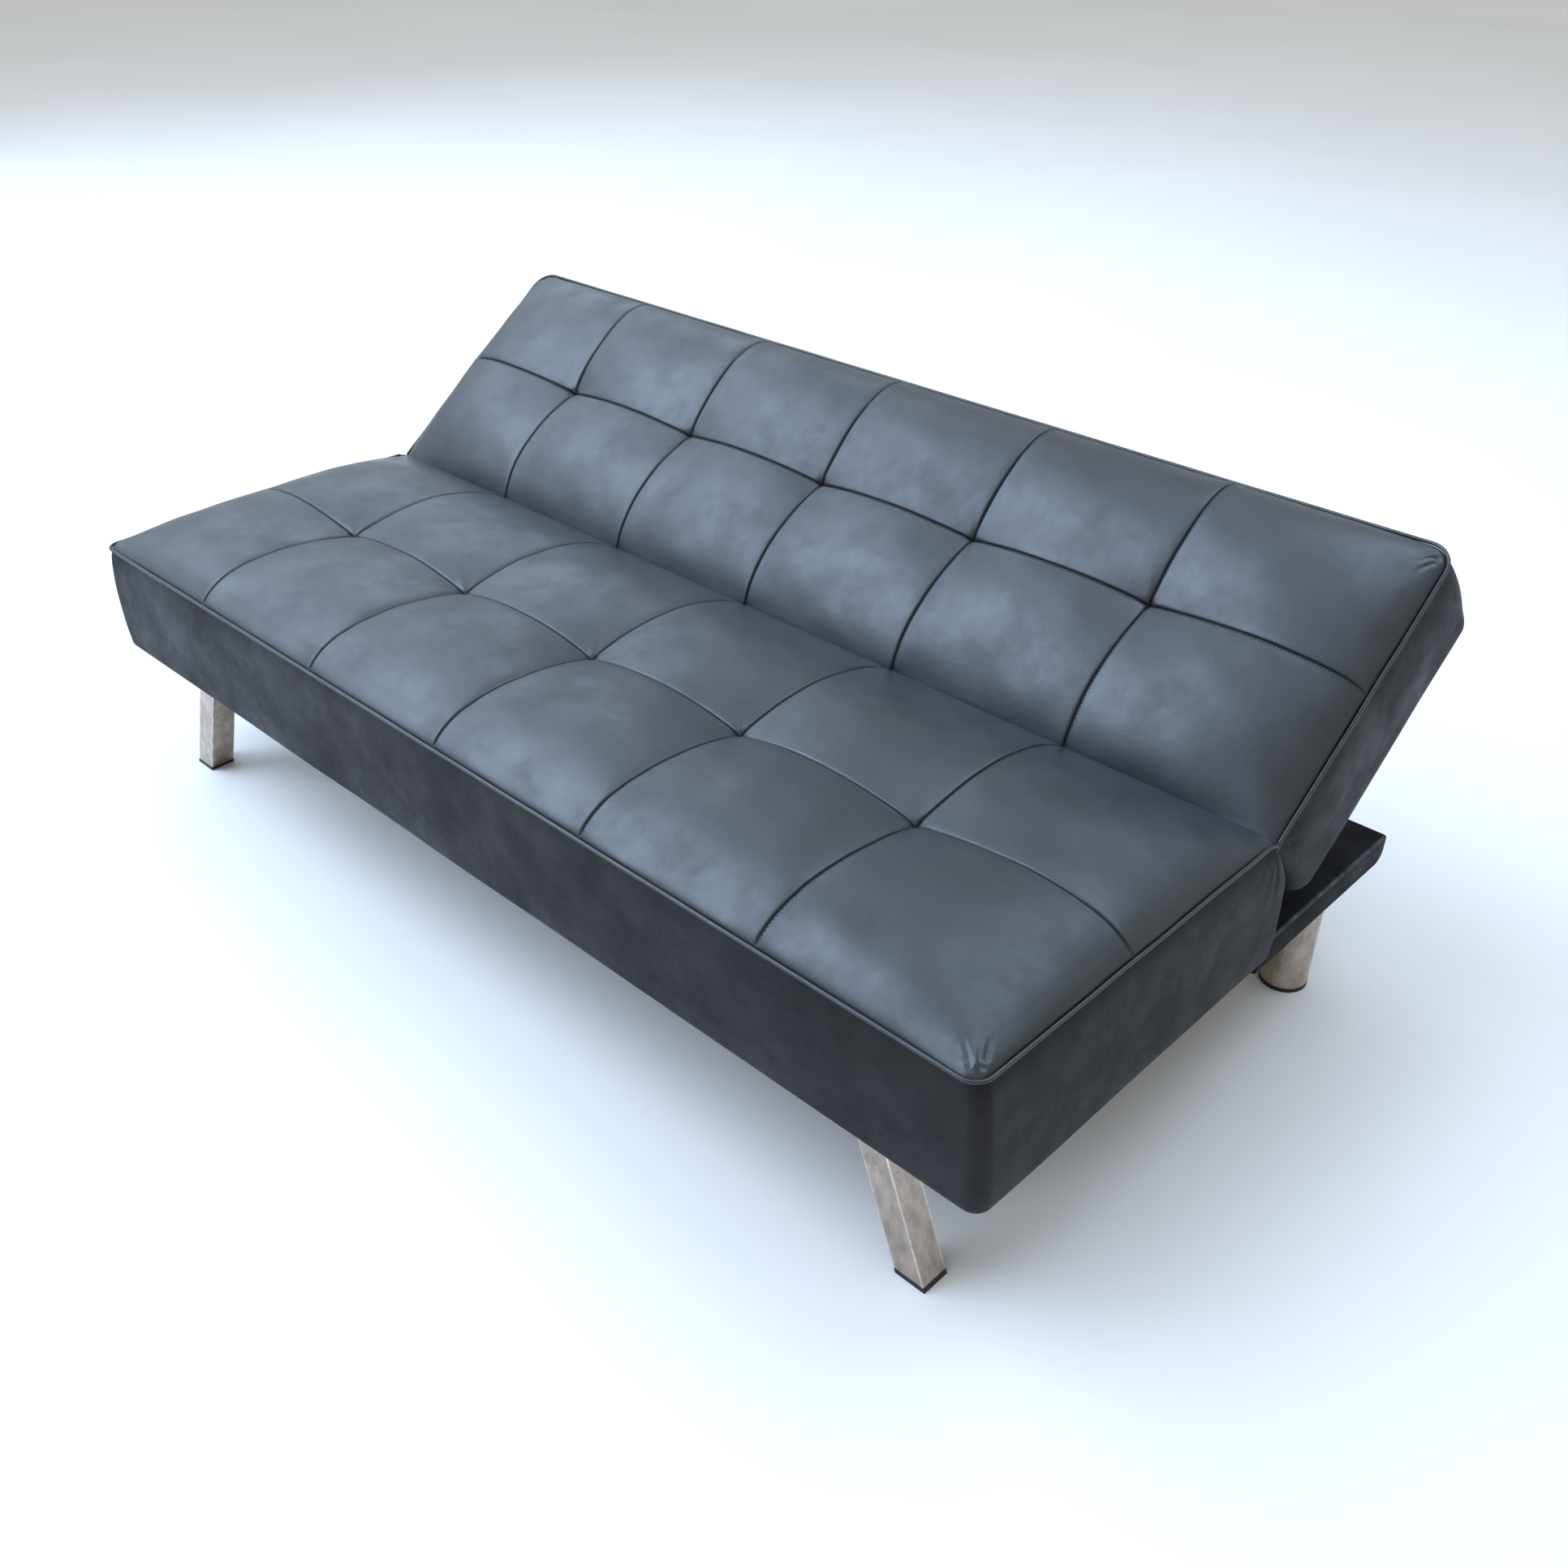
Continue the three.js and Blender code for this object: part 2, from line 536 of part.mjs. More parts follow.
function pawls(side, sign) {
  const tail = polar(PIVOT, RATCHET_RADIUS + PAWL.tail, PAWL_SIDE);
  const tip = polar(PIVOT, RATCHET_RADIUS + PAWL.tip, PAWL_SIDE);
  const outline = armShape(tail, PAWL.tailRadius, tip, PAWL.tipRadius);
  addHole(outline, pawlPin(), BOLT_HOLE);
  add(sofa, `pawl_${side}`, sidePlate(outline, PLATE, sign * BACK_PLATE_X), steel);
  const innerFace = BACK_PLATE_X - PLATE / 2 - GAP;
  add(sofa, `pawl_pin_${side}`, crossBolt(sign, innerFace, pawlPin(), BOLT, 2 * PLATE + 2 * GAP), steel);
  const springX = sign * (BACK_PLATE_X - SPRING.offset);
  const anchor = new THREE.Vector3(springX, SPRING.anchorY, SPRING.anchorZ);
  const hook = new THREE.Vector3(springX, tail.y - SPRING.hook, tail.z);
  const coil = new Coil(anchor, hook, SPRING.radius, SPRING.turns);
  add(sofa, `pawl_spring_${side}`, wire(coil, SPRING.wire, 10 * SPRING.turns), steel);
}

function hinges() {
  for (const [side, sign] of Object.entries(SIDES)) {
    hingePlates(side, sign);
    const innerFace = BACK_PLATE_X - PLATE / 2 - GAP;
    add(sofa, `hinge_pivot_${side}`, crossBolt(sign, innerFace, PIVOT, PIVOT_SHANK, PIVOT_LENGTH), steel);
    SEAT_BOLTS.forEach((at, i) => {
      const bolt = crossBolt(sign, SEAT_PLATE_X - PLATE / 2 - GAP, at, BOLT, RAIL_BOLT);
      add(sofa, `hinge_seat_bolt_${side}_${i + 1}`, bolt, steel);
    });
    BACK_BOLTS.forEach((at, i) => {
      add(back, `hinge_back_bolt_${side}_${i + 1}`, crossBolt(sign, innerFace, at, BOLT, RAIL_BOLT), steel);
    });
    pawls(side, sign);
  }
}

seatFrame();
seatUpholstery();
rearBoard();
boardSupports();
frontLegs();
rearLegs();
backFrame();
backUpholstery();
hinges();

// Centre the footprint on the origin; the feet already stand on Z = 0.
const middle = new THREE.Box3().setFromObject(sofa, true).getCenter(new THREE.Vector3());
sofa.position.set(-middle.x, -middle.y, 0);

export default sofa;
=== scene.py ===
"""Looks of the click-clack sofa bed: tufted leatherette cushions, piping, a wrapped board, chrome whose
blotchy tone is partly wear and partly painted reflection.
"""
import json
import math

import bpy
import numpy as np
from mathutils import Matrix, Vector


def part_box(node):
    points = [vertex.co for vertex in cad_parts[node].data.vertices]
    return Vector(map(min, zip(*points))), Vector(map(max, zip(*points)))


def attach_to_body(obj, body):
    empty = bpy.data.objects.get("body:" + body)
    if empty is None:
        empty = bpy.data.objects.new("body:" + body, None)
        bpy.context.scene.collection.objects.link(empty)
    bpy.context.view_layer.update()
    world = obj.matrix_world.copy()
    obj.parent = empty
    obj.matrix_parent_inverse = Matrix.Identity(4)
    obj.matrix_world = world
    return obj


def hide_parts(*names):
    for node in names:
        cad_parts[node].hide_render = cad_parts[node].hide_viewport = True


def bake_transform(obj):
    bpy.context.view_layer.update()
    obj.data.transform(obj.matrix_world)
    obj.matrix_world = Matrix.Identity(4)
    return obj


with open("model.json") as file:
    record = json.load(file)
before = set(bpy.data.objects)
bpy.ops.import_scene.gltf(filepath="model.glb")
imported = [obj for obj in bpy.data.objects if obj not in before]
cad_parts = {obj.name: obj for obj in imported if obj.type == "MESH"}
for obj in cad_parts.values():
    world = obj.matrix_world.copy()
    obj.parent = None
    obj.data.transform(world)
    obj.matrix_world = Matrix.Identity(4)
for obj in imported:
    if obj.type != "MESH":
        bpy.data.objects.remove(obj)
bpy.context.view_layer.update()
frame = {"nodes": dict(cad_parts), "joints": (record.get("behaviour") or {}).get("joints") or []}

# ---- Driving dimensions, in metres, in the frame's own axes ----
WELT_LOW, WELT_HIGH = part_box("seat_welt")
WELT_OUT = 0.005  # the CAD piping reaches this far past the welt line
HALF = WELT_HIGH.x - WELT_OUT  # from the middle to the welt line at each end
FRONT = WELT_LOW.y + WELT_OUT
SEAT_WELT = WELT_LOW.z - 0.001
SEAT_DEPTH = 0.549  # from the front welt to the crease
SEAT_ROW = 0.259  # from the front welt to the seat's tufts
SEAT_REAR = 0.577  # from the front welt to the rear face, under the backrest
SEAT_HEIGHT = SEAT_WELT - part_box("seat_cover")[0].z
BACK_LENGTH = 0.426  # from the crease to the top welt
BACK_ROW = 0.2166  # from the crease to the backrest's tufts
BACK_THICKNESS = 0.150
RECLINE = next(joint for joint in frame["joints"] if joint["name"] == "back_recline")
SLOPE = math.radians(-RECLINE["range_deg"][0])  # the back lies level at its lower limit
CREASE_GAP = 0.001  # the crease lies this far behind the seat's panel
CREASE_SINK = 0.0085  # and this far below the seat's welt
CREASE = Vector((0, FRONT + SEAT_DEPTH + CREASE_GAP, SEAT_WELT - CREASE_SINK))

INNER_SEAM = 0.279  # from the middle seam
OUTER_SEAM = 0.559
COLUMNS = np.array([-HALF, -OUTER_SEAM, -INNER_SEAM, 0, INNER_SEAM, OUTER_SEAM, HALF])
COLUMN_PANELS = len(COLUMNS) - 1
ROW_PANELS = 2
TUFT = 0.021  # height of the tufts above the welt
SEAM_ARCH = 0.031  # rise of a seam between its welt and a tuft
ROW_ARCH = 0.018  # and between two tufts
PANEL_DIP = 0.013  # how much flatter a pillow's middle is than its seams alone would make it
DIP_POWER = 0.8
PIPING = 0.0024  # radius


# ---- Small tools ----
def smooth(t):
    """An S-shaped step from 0 to 1."""
    t = np.clip(t, 0, 1)
    return t * t * (3 - 2 * t)


def waves(points, wavelength, seed, count=7, shortest=0.7, longest=1.5):
    """Smooth noise between about -1 and 1: a sum of sines in seeded directions."""
    draw = np.random.default_rng(seed)
    directions = draw.normal(size=(count, points.shape[-1]))
    directions /= np.linalg.norm(directions, axis=1, keepdims=True)
    lengths = wavelength * draw.uniform(shortest, longest, count)
    phases = draw.uniform(0, 2 * math.pi, count)
    return np.sin(points @ (directions / lengths[:, None]).T * 2 * math.pi + phases).mean(-1) * 2


def cubic(values, places):
    """Smooth samples of a list of values at fractional places along its first axis."""
    base = np.clip(np.floor(places).astype(int), 0, len(values) - 2)
    t = (places - base).reshape(-1, *[1] * (values.ndim - 1))
    a = values[np.maximum(base - 1, 0)]
    b = values[base]
    c = values[base + 1]
    d = values[np.minimum(base + 2, len(values) - 1)]
    return b + t * ((c - a) + t * ((2 * a - 5 * b + 4 * c - d) + t * (3 * (b - c) + d - a))) / 2


def new_object(name, points, faces, shade_smooth=True):
    mesh = bpy.data.meshes.new(name)
    mesh.from_pydata([tuple(p) for p in points], [], faces)
    mesh.update()
    if shade_smooth:
        mesh.shade_smooth()
    obj = bpy.data.objects.new(name, mesh)
    bpy.context.scene.collection.objects.link(obj)
    return obj


def apply_modifiers(obj):
    evaluated = obj.evaluated_get(bpy.context.evaluated_depsgraph_get())
    mesh = bpy.data.meshes.new_from_object(evaluated)
    obj.modifiers.clear()
    obj.data = mesh


def get_points(mesh, what="co"):
    values = np.empty(len(mesh.vertices) * 3, np.float32)
    mesh.vertices.foreach_get(what, values)
    return values.reshape(-1, 3).astype(float)


def set_points(mesh, points):
    mesh.vertices.foreach_set("co", points.astype(np.float32).ravel())
    mesh.update()


def store(mesh, name, values):
    mesh.attributes.new(name, "FLOAT", "POINT").data.foreach_set("value", values.astype(np.float32))


# ---- Cushions, each in its own axes: x along the sofa, v across the panel, h out of it ----
class Cushion:
    """A tufted panel of two rows and six columns, on a padded boxing."""

    def __init__(self, name, origin, along, rows, crease_row, crease_drop, rings):
        self.name = name
        self.origin = origin
        self.along = along
        self.out = Vector((1, 0, 0)).cross(along)
        self.rows = np.array(rows)
        self.crease_row = crease_row  # the row line that lies in the crease: 0 or 2
        self.crease = self.rows[crease_row]
        self.free = self.rows[ROW_PANELS - crease_row]
        self.inward = 1 if self.crease > self.free else -1  # from the free edge to the crease
        self.crease_drop = crease_drop
        self.rings = np.array(rings)

    def plan(self, column, row):
        """The x and v of places counted in panels."""
        x = np.interp(column, np.arange(len(COLUMNS)), COLUMNS)
        v = np.interp(row, np.arange(len(self.rows)), self.rows)
        return x, v

    def place(self, local):
        basis = np.array([(1, 0, 0), self.along, self.out])
        return local @ basis + np.array(self.origin)


# The boxing is a skin over rings, from the welt down. Each ring: height, height at the crease,
# low and high end across, half length, corner radius at the free edge and at the crease.
EDGE = 0.014  # the lower edge starts to turn this far above the base
EDGE_TURN = 0.004  # and is half turned here
BASE_SINK = 0.0045  # the middle of the base is set in this far


def seat_rings():
    drop = SEAT_HEIGHT
    rear = SEAT_REAR
    return [
        (0, -0.003, 0, SEAT_DEPTH, HALF, 0.020, 0.003),
        (-0.004, -0.007, -0.0003, rear - 0.0255, HALF + 0.0020, 0.020, 0.004),
        (-0.012, -0.014, -0.0015, rear - 0.021, HALF + 0.0058, 0.020, 0.006),
        (-0.025, -0.026, -0.0025, rear - 0.014, HALF + 0.0090, 0.020, 0.008),
        (-0.044, -0.044, -0.0032, rear - 0.005, HALF + 0.0120, 0.021, 0.010),
        (-0.062, -0.062, -0.0035, rear, HALF + 0.0138, 0.021, 0.012),
        (-0.095, -0.095, -0.003, rear, HALF + 0.0155, 0.022, 0.014),
        (-0.132, -0.132, -0.001, rear, HALF + 0.0158, 0.022, 0.014),
        (EDGE - drop, EDGE - drop, 0.0018, rear, HALF + 0.0148, 0.021, 0.014),
        (EDGE_TURN - drop, EDGE_TURN - drop, 0.0032, rear, HALF + 0.0135, 0.020, 0.014),
        (-drop, -drop, 0.0068, rear - 0.0035, HALF + 0.0095, 0.018, 0.012),
        (-drop, -drop, 0.024, rear - 0.020, HALF - 0.009, 0.018, 0.010),
        (-drop, -drop, 0.042, rear - 0.036, HALF - 0.029, 0.018, 0.008),
        (BASE_SINK - drop, BASE_SINK - drop, 0.043, rear - 0.037, HALF - 0.030, 0.018, 0.008),
    ]


def back_rings():
    thick = BACK_THICKNESS
    end = BACK_LENGTH
    return [
        (0, 0, 0, end, HALF, 0.030, 0.003),
        (-0.004, -0.004, 0, end + 0.0005, HALF + 0.0005, 0.030, 0.004),
        (-0.012, -0.012, 0, end + 0.002, HALF + 0.002, 0.030, 0.006),
        (-0.025, -0.025, 0, end + 0.004, HALF + 0.0045, 0.030, 0.008),
        (-0.050, -0.050, 0.001, end + 0.0055, HALF + 0.0075, 0.030, 0.012),
        (-0.078, -0.078, 0.001, end + 0.006, HALF + 0.009, 0.030, 0.016),
        (-0.110, -0.110, 0.001, end + 0.005, HALF + 0.009, 0.030, 0.020),
        (EDGE - thick, EDGE - thick, 0.001, end + 0.0045, HALF + 0.009, 0.028, 0.026),
        (EDGE_TURN - thick, EDGE_TURN - thick, 0.003, end + 0.0025, HALF + 0.007, 0.026, 0.028),
        (-thick, -thick, 0.010, end - 0.004, HALF + 0.001, 0.025, 0.028),
        (-thick, -thick, 0.024, end - 0.024, HALF - 0.018, 0.026, 0.024),
        (-thick, -thick, 0.036, end - 0.036, HALF - 0.030, 0.024, 0.020),
        (BASE_SINK - thick, BASE_SINK - thick, 0.037, end - 0.037, HALF - 0.031, 0.024, 0.020),
    ]


SEAT = Cushion(
    "seat_cushion",
    origin=Vector((0, FRONT, SEAT_WELT)),
    along=Vector((0, 1, 0)),
    rows=(0, SEAT_ROW, SEAT_DEPTH),
    crease_row=2,
    crease_drop=0.003,
    rings=seat_rings(),
)
BACK = Cushion(
    "back_cushion",
    origin=CREASE,
    along=Vector((0, math.cos(SLOPE), math.sin(SLOPE))),
    rows=(0, BACK_ROW, BACK_LENGTH),
    crease_row=0,
    crease_drop=0,
    rings=back_rings(),
)


def arch(t, low_power, high_power):
    """A hump over 0 to 1 that is 1 at its top; a power under 1 makes that end steep."""
    peak = low_power / (low_power + high_power)
    top = peak**low_power * (1 - peak) ** high_power
    t = np.clip(t, 0, 1)
    return t**low_power * (1 - t) ** high_power / top


EDGE_POWER = 0.60  # how full the padding is beside a welt
CREASE_POWER = {0: 0.72, 2: 0.9}  # and beside the crease: fuller on the back than on the seat
EDGE_BLEND = 3.2  # how late a pillow falls to its welt
RIM_RISE = 0.007  # the padding stands this high right beside the welt
RIM_WIDTH = 0.007  # and rises to that over about this distance
CREASE_REACH = 0.05  # how far from the crease the welt line starts to drop into it


def welt_distance(cushion, column, row):
    """Distance from a place on the panel to the nearest welt, leaving out the crease."""
    x, v = cushion.plan(column, row)
    return np.minimum(HALF - np.abs(x), np.abs(v - cushion.free))


def panel_height(cushion, column, row):
    """Height of the tufted surface; column and row are places counted in panels."""
    last = COLUMN_PANELS - 1
    c = np.clip(np.floor(column).astype(int), 0, last)
    r = np.clip(np.floor(row).astype(int), 0, ROW_PANELS - 1)
    u = column - c
    v = row - r
    heights = np.zeros((len(COLUMNS), len(cushion.rows)))
    heights[1:-1, 1] = TUFT
    edge_powers = {0: EDGE_POWER, 2: EDGE_POWER, cushion.crease_row: CREASE_POWER[cushion.crease_row]}

    def column_seam(k):
        rise = np.where((k == 0) | (k == COLUMN_PANELS), 0, SEAM_ARCH)
        line = heights[k, r] * (1 - v) + heights[k, r + 1] * v
        return line + rise * np.where(r == 0, arch(v, edge_powers[0], 1), arch(v, 1, edge_powers[2]))

    def row_seam(m):
        rise = np.where(m == 1, np.where((c == 0) | (c == last), SEAM_ARCH, ROW_ARCH), 0)
        low = np.where(c == 0, EDGE_POWER, 1)
        high = np.where(c == last, EDGE_POWER, 1)
        return heights[c, m] * (1 - u) + heights[c + 1, m] * u + rise * arch(u, low, high)

    f = np.where(c == 0, 1 - (1 - u) ** EDGE_BLEND, np.where(c == last, u**EDGE_BLEND, u))
    g = np.where(r == 0, 1 - (1 - v) ** EDGE_BLEND, v**EDGE_BLEND)
    corners = (1 - g) * ((1 - f) * heights[c, r] + f * heights[c + 1, r]) + g * (
        (1 - f) * heights[c, r + 1] + f * heights[c + 1, r + 1]
    )
    edges = (1 - g) * row_seam(r) + g * row_seam(r + 1) + (1 - f) * column_seam(c) + f * column_seam(c + 1)
    from_crease = np.abs(cushion.plan(column, row)[1] - cushion.crease)
    drop = cushion.crease_drop * smooth(1 - from_crease / CREASE_REACH)
    rim = RIM_RISE * (1 - np.exp(-welt_distance(cushion, column, row) / RIM_WIDTH))
    dip = PANEL_DIP * arch(u, DIP_POWER, DIP_POWER) * arch(v, DIP_POWER, DIP_POWER)
    return edges - corners - drop + rim - dip


def panel_points(cushion, columns, rows):
    """The tufted surface at those places, as a grid of local points indexed [row, column]."""
    column, row = np.meshgrid(columns, rows)
    return np.stack([*cushion.plan(column, row), panel_height(cushion, column, row)], axis=-1)


# ---- Cloth ----
SIM_CELLS = 20  # to each panel, each way
SIM_FRAMES = 20
SIM_CAP = 0.007  # no point moves further than this
SEAM_HOLD = 0.5  # how firmly a seam is pinned; welts and tufts are pinned fully
SEAM_CALM = 0.03  # within this distance a seam keeps the cloth from moving sideways


def grid_faces(rows, columns):
    index = np.arange(rows * columns).reshape(rows, columns)
    quads = np.stack([index[:-1, :-1], index[:-1, 1:], index[1:, 1:], index[1:, :-1]], axis=-1)
    return quads.reshape(-1, 4).tolist()


def inflate(cushion):
    """How far each point of a coarse panel moves when it is blown up as cloth, held at welts and tufts."""
    columns = np.arange(COLUMN_PANELS * SIM_CELLS + 1) / SIM_CELLS
    rows = np.arange(ROW_PANELS * SIM_CELLS + 1) / SIM_CELLS
    rest = panel_points(cushion, columns, rows)
    obj = new_object("cloth", rest.reshape(-1, 3), grid_faces(len(rows), len(columns)))
    column, row = np.meshgrid(columns, rows)
    on_column = column == np.round(column)
    on_row = row == np.round(row)
    border = (column == 0) | (column == COLUMN_PANELS) | (row == 0) | (row == ROW_PANELS)
    hold = np.where(border | (on_column & on_row), 1, np.where(on_column | on_row, SEAM_HOLD, 0)).ravel()
    group = obj.vertex_groups.new(name="hold")
    for value in (1, SEAM_HOLD):
        group.add(np.flatnonzero(hold == value).tolist(), value, "REPLACE")
    cloth = obj.modifiers.new("cloth", "CLOTH")
    cloth.settings.quality = 6
    cloth.settings.use_pressure = True
    cloth.settings.uniform_pressure_force = 4
    cloth.settings.vertex_group_mass = "hold"
    cloth.settings.shrink_min = 0
    cloth.settings.bending_stiffness = 2
    cloth.settings.effector_weights.gravity = 0
    cloth.collision_settings.use_collision = False
    cloth.point_cache.frame_end = SIM_FRAMES
    for number in range(1, SIM_FRAMES + 1):
        bpy.context.scene.frame_set(number)
    blown = obj.evaluated_get(bpy.context.evaluated_depsgraph_get()).data
    moved = get_points(blown).reshape(rest.shape) - rest
    bpy.data.objects.remove(obj)
    bpy.context.scene.frame_set(1)
    length = np.linalg.norm(moved, axis=-1, keepdims=True)
    return moved * np.minimum(1, SIM_CAP / np.maximum(length, 1e-9))


# ---- The cover: seams, grooves, boxing ----
SEAM_STEPS = np.array([0, 0.0008, 0.0017, 0.0030, 0.0052, 0.0085, 0.013])  # mesh lines beside a seam
FOLD_STEP = 0.0028
FOLD_LINES = np.arange(1, 12)
END_STEPS = np.append(SEAM_STEPS, SEAM_STEPS[-1] + FOLD_STEP * FOLD_LINES)  # and beside the panel's rim
FINE_CELL = 0.0095  # about the distance between the other mesh lines


def graded(stops):
    """Places, counted in panels, with lines gathered beside every stop."""
    places = []
    for i, (low, high) in enumerate(zip(stops[:-1], stops[1:])):
        span = high - low
        first = END_STEPS if i == 0 else SEAM_STEPS
        last = END_STEPS if i == len(stops) - 2 else SEAM_STEPS
        inner = span - first[-1] - last[-1]
        count = round(inner / FINE_CELL)
        middle = first[-1] + inner * np.arange(1, count) / count
        offsets = np.concatenate([first, middle, span - last[:0:-1]])
        places.append(i + offsets / span)
    return np.append(np.concatenate(places), len(stops) - 1)


def seam_distances(cushion, x, v):
    """Distance to the nearest column seam and to the row seam."""
    across = np.abs(x[..., None] - COLUMNS[1:-1]).min(-1)
    return across, np.abs(v - cushion.rows[1])


def signed_seam(cushion, x, v):
    """Distance past the nearest seam on the side where its fold of leatherette lies."""
    past_column = x[..., None] - COLUMNS[1:-1]
    past_column = np.where(past_column > 0, past_column, 1).min(-1)
    past_row = np.where(v < cushion.rows[1], cushion.rows[1] - v, 1)
    return np.minimum(past_column, past_row)


def bell(distance, width):
    """1 at no distance, falling off smoothly."""
    return np.exp(-((distance / width) ** 2))


SEAM_FOLD = (0.0036, 0.0013)  # depth and width
SEAM_VALLEY = (0.0016, 0.005)
SEAM_LIP = (0.0007, 0.0013, 0.0028)  # height, width and place past the seam


def groove(distance):
    """Depth of a sewn seam: a tight fold in a soft valley."""
    fold, fold_width = SEAM_FOLD
    valley, valley_width = SEAM_VALLEY
    return fold * bell(distance, fold_width) + valley * np.exp(-distance / valley_width)


PUCKER = 0.0008
PUCKER_START = 0.012
PUCKER_REACH = 0.030
TUFT_PIT = (0.0045, 0.006)  # depth and width


def puckers(cushion, x, v):
    """Short folds that run out from each tuft."""
    total = np.zeros_like(x)
    for number, tuft_x in enumerate(COLUMNS[1:-1]):
        away = np.hypot(x - tuft_x, v - cushion.rows[1])
        angle = np.arctan2(v - cushion.rows[1], x - tuft_x)
        folds = np.cos(7 * angle + number) + 0.7 * np.cos(11 * angle + 2.3 * number)
        total += PUCKER * folds * np.exp(-away / PUCKER_REACH) * smooth(away / PUCKER_START)
        total -= TUFT_PIT[0] * bell(away, TUFT_PIT[1])
    return total


FOLD_DEPTH = 0.0070
FOLD_WIDTH = 0.0018
FOLD_START = 0.006  # from the corner
FOLD_RISE = 0.012
FOLD_LENGTHS = (0.026, 0.046)
FOLD_DEGREES = (22, 36, 49, 61)  # from the free edge
FOLD_TURN = 4  # each is turned by up to this many degrees
FOLD_SEED = 5
FOLD_BANK = (0.4, 0.006)  # height, as a share of the depth, and width of the swell beside a fold


def corner_folds(cushion, x, v):
    """Gathers at the free corners of the panel."""
    total = np.zeros_like(x)
    draw = np.random.default_rng(FOLD_SEED)
    for side in (-1, 1):
        across = HALF - side * x
        down = cushion.inward * (v - cushion.free)
        away = np.hypot(across, down)
        angle = np.arctan2(down, across)
        for degrees in FOLD_DEGREES:
            length = draw.uniform(*FOLD_LENGTHS)
            turned = angle - math.radians(degrees + draw.uniform(-FOLD_TURN, FOLD_TURN))
            beside = away * turned
            fold = bell(beside, FOLD_WIDTH) - FOLD_BANK[0] * bell(beside, FOLD_BANK[1])
            start = smooth((away - FOLD_START) / FOLD_RISE)
            total -= FOLD_DEPTH * fold * start * np.exp(-((away / length) ** 4))
    return total


def round_corners(local, ring, cushion):
    """Bends the corners of a rectangle of points onto the ring's corner arcs."""
    _, _, low, high, half, free_round, crease_round = ring
    rounds = (crease_round, free_round) if cushion.crease_row == 0 else (free_round, crease_round)
    x, v = local[..., 0], local[..., 1]
    for end, sign, radius in ((low, -1, rounds[0]), (high, 1, rounds[1])):
        dx = np.abs(x) - (half - radius)
        dv = sign * (v - end) + radius
        inside = (dx > 0) & (dv > 0)
        scale = np.where(inside, np.maximum(dx, dv) / np.maximum(np.hypot(dx, dv), 1e-12), 1)
        x = np.where(inside, np.sign(x) * (half - radius + dx * scale), x)
        v = np.where(inside, end - sign * radius + sign * dv * scale, v)
    return np.stack([x, v, local[..., 2]], axis=-1)


def ring_loop(cushion, rim, ring):
    """The panel's rim carried out and down to a ring."""
    height, crease_height, low, high, half = ring[:5]
    x = rim[:, 0] / HALF * half
    v = low + rim[:, 1] / cushion.rows[-1] * (high - low)
    from_crease = np.abs(rim[:, 1] - cushion.crease)
    near = smooth(1 - from_crease / CREASE_REACH)
    h = height + (crease_height - height) * near
    return round_corners(np.stack([x, v, h], axis=-1), ring, cushion)


def rim_order(rows, columns):
    """Indices of a grid's border, anticlockwise from its first point."""
    index = np.arange(rows * columns).reshape(rows, columns)
    return np.concatenate([index[0, :-1], index[:-1, -1], index[-1, :0:-1], index[:0:-1, 0]])


def base_faces(loop, rows, columns):
    """Closes the last loop with strips that run straight across it."""
    low = loop[:columns]
    high = loop[columns + rows - 2 : 2 * columns + rows - 2][::-1]
    right = loop[columns : columns + rows - 2][::-1].tolist()
    left = loop[2 * columns + rows - 2 :][::-1].tolist()
    strips = [[low[i], high[i], high[i + 1], low[i + 1]] for i in range(columns - 1)]
    strips[0] = [low[0], *left, high[0], high[1], low[1]]
    strips[-1] = [low[-2], high[-2], high[-1], *right, low[-1]]
    return [[int(i) for i in strip] for strip in strips]


BOXING_SLACK = 0.0007
BOXING_RIPPLE = 0.0002
GATHER = 0.0016
GATHER_DROP = 0.004  # the gathers start this far under the crease
GATHER_START = 0.014
GATHER_REACH = 0.045
GATHER_END = 0.03  # they fade out over this distance in from the sofa's ends


def boxing_folds(cushion, local):
    """Slack and pulls in the boxing, and the gathers where it meets the crease."""
    slack = BOXING_SLACK * waves(local * (1, 1, 0.5), 0.25, seed=11)
    ripple = BOXING_RIPPLE * waves(local, 0.09, seed=12)
    beside = local[:, 1] - cushion.crease
    below = local[:, 2] + GATHER_DROP
    away = np.hypot(beside, below)
    angle = np.arctan2(below, beside)
    folds = np.cos(13 * angle) + 0.6 * np.cos(21 * angle + 1)
    gathers = GATHER * folds * smooth(away / GATHER_START) * bell(away, GATHER_REACH)
    near_end = smooth((np.abs(local[:, 0]) - HALF + GATHER_END) / GATHER_END)
    return slack + ripple + gathers * near_end


WELT_HOLD = 0.010  # folds and unevenness fade out over this distance to a welt
SEAM_END = 0.004  # and the seams over this one
UNEVEN = 0.0006
SEAM_SHADE = 0.0016  # half width of the painted shade line in a seam or beside a welt
WELT_SHADE = 0.0012  # how far from the welt that line lies


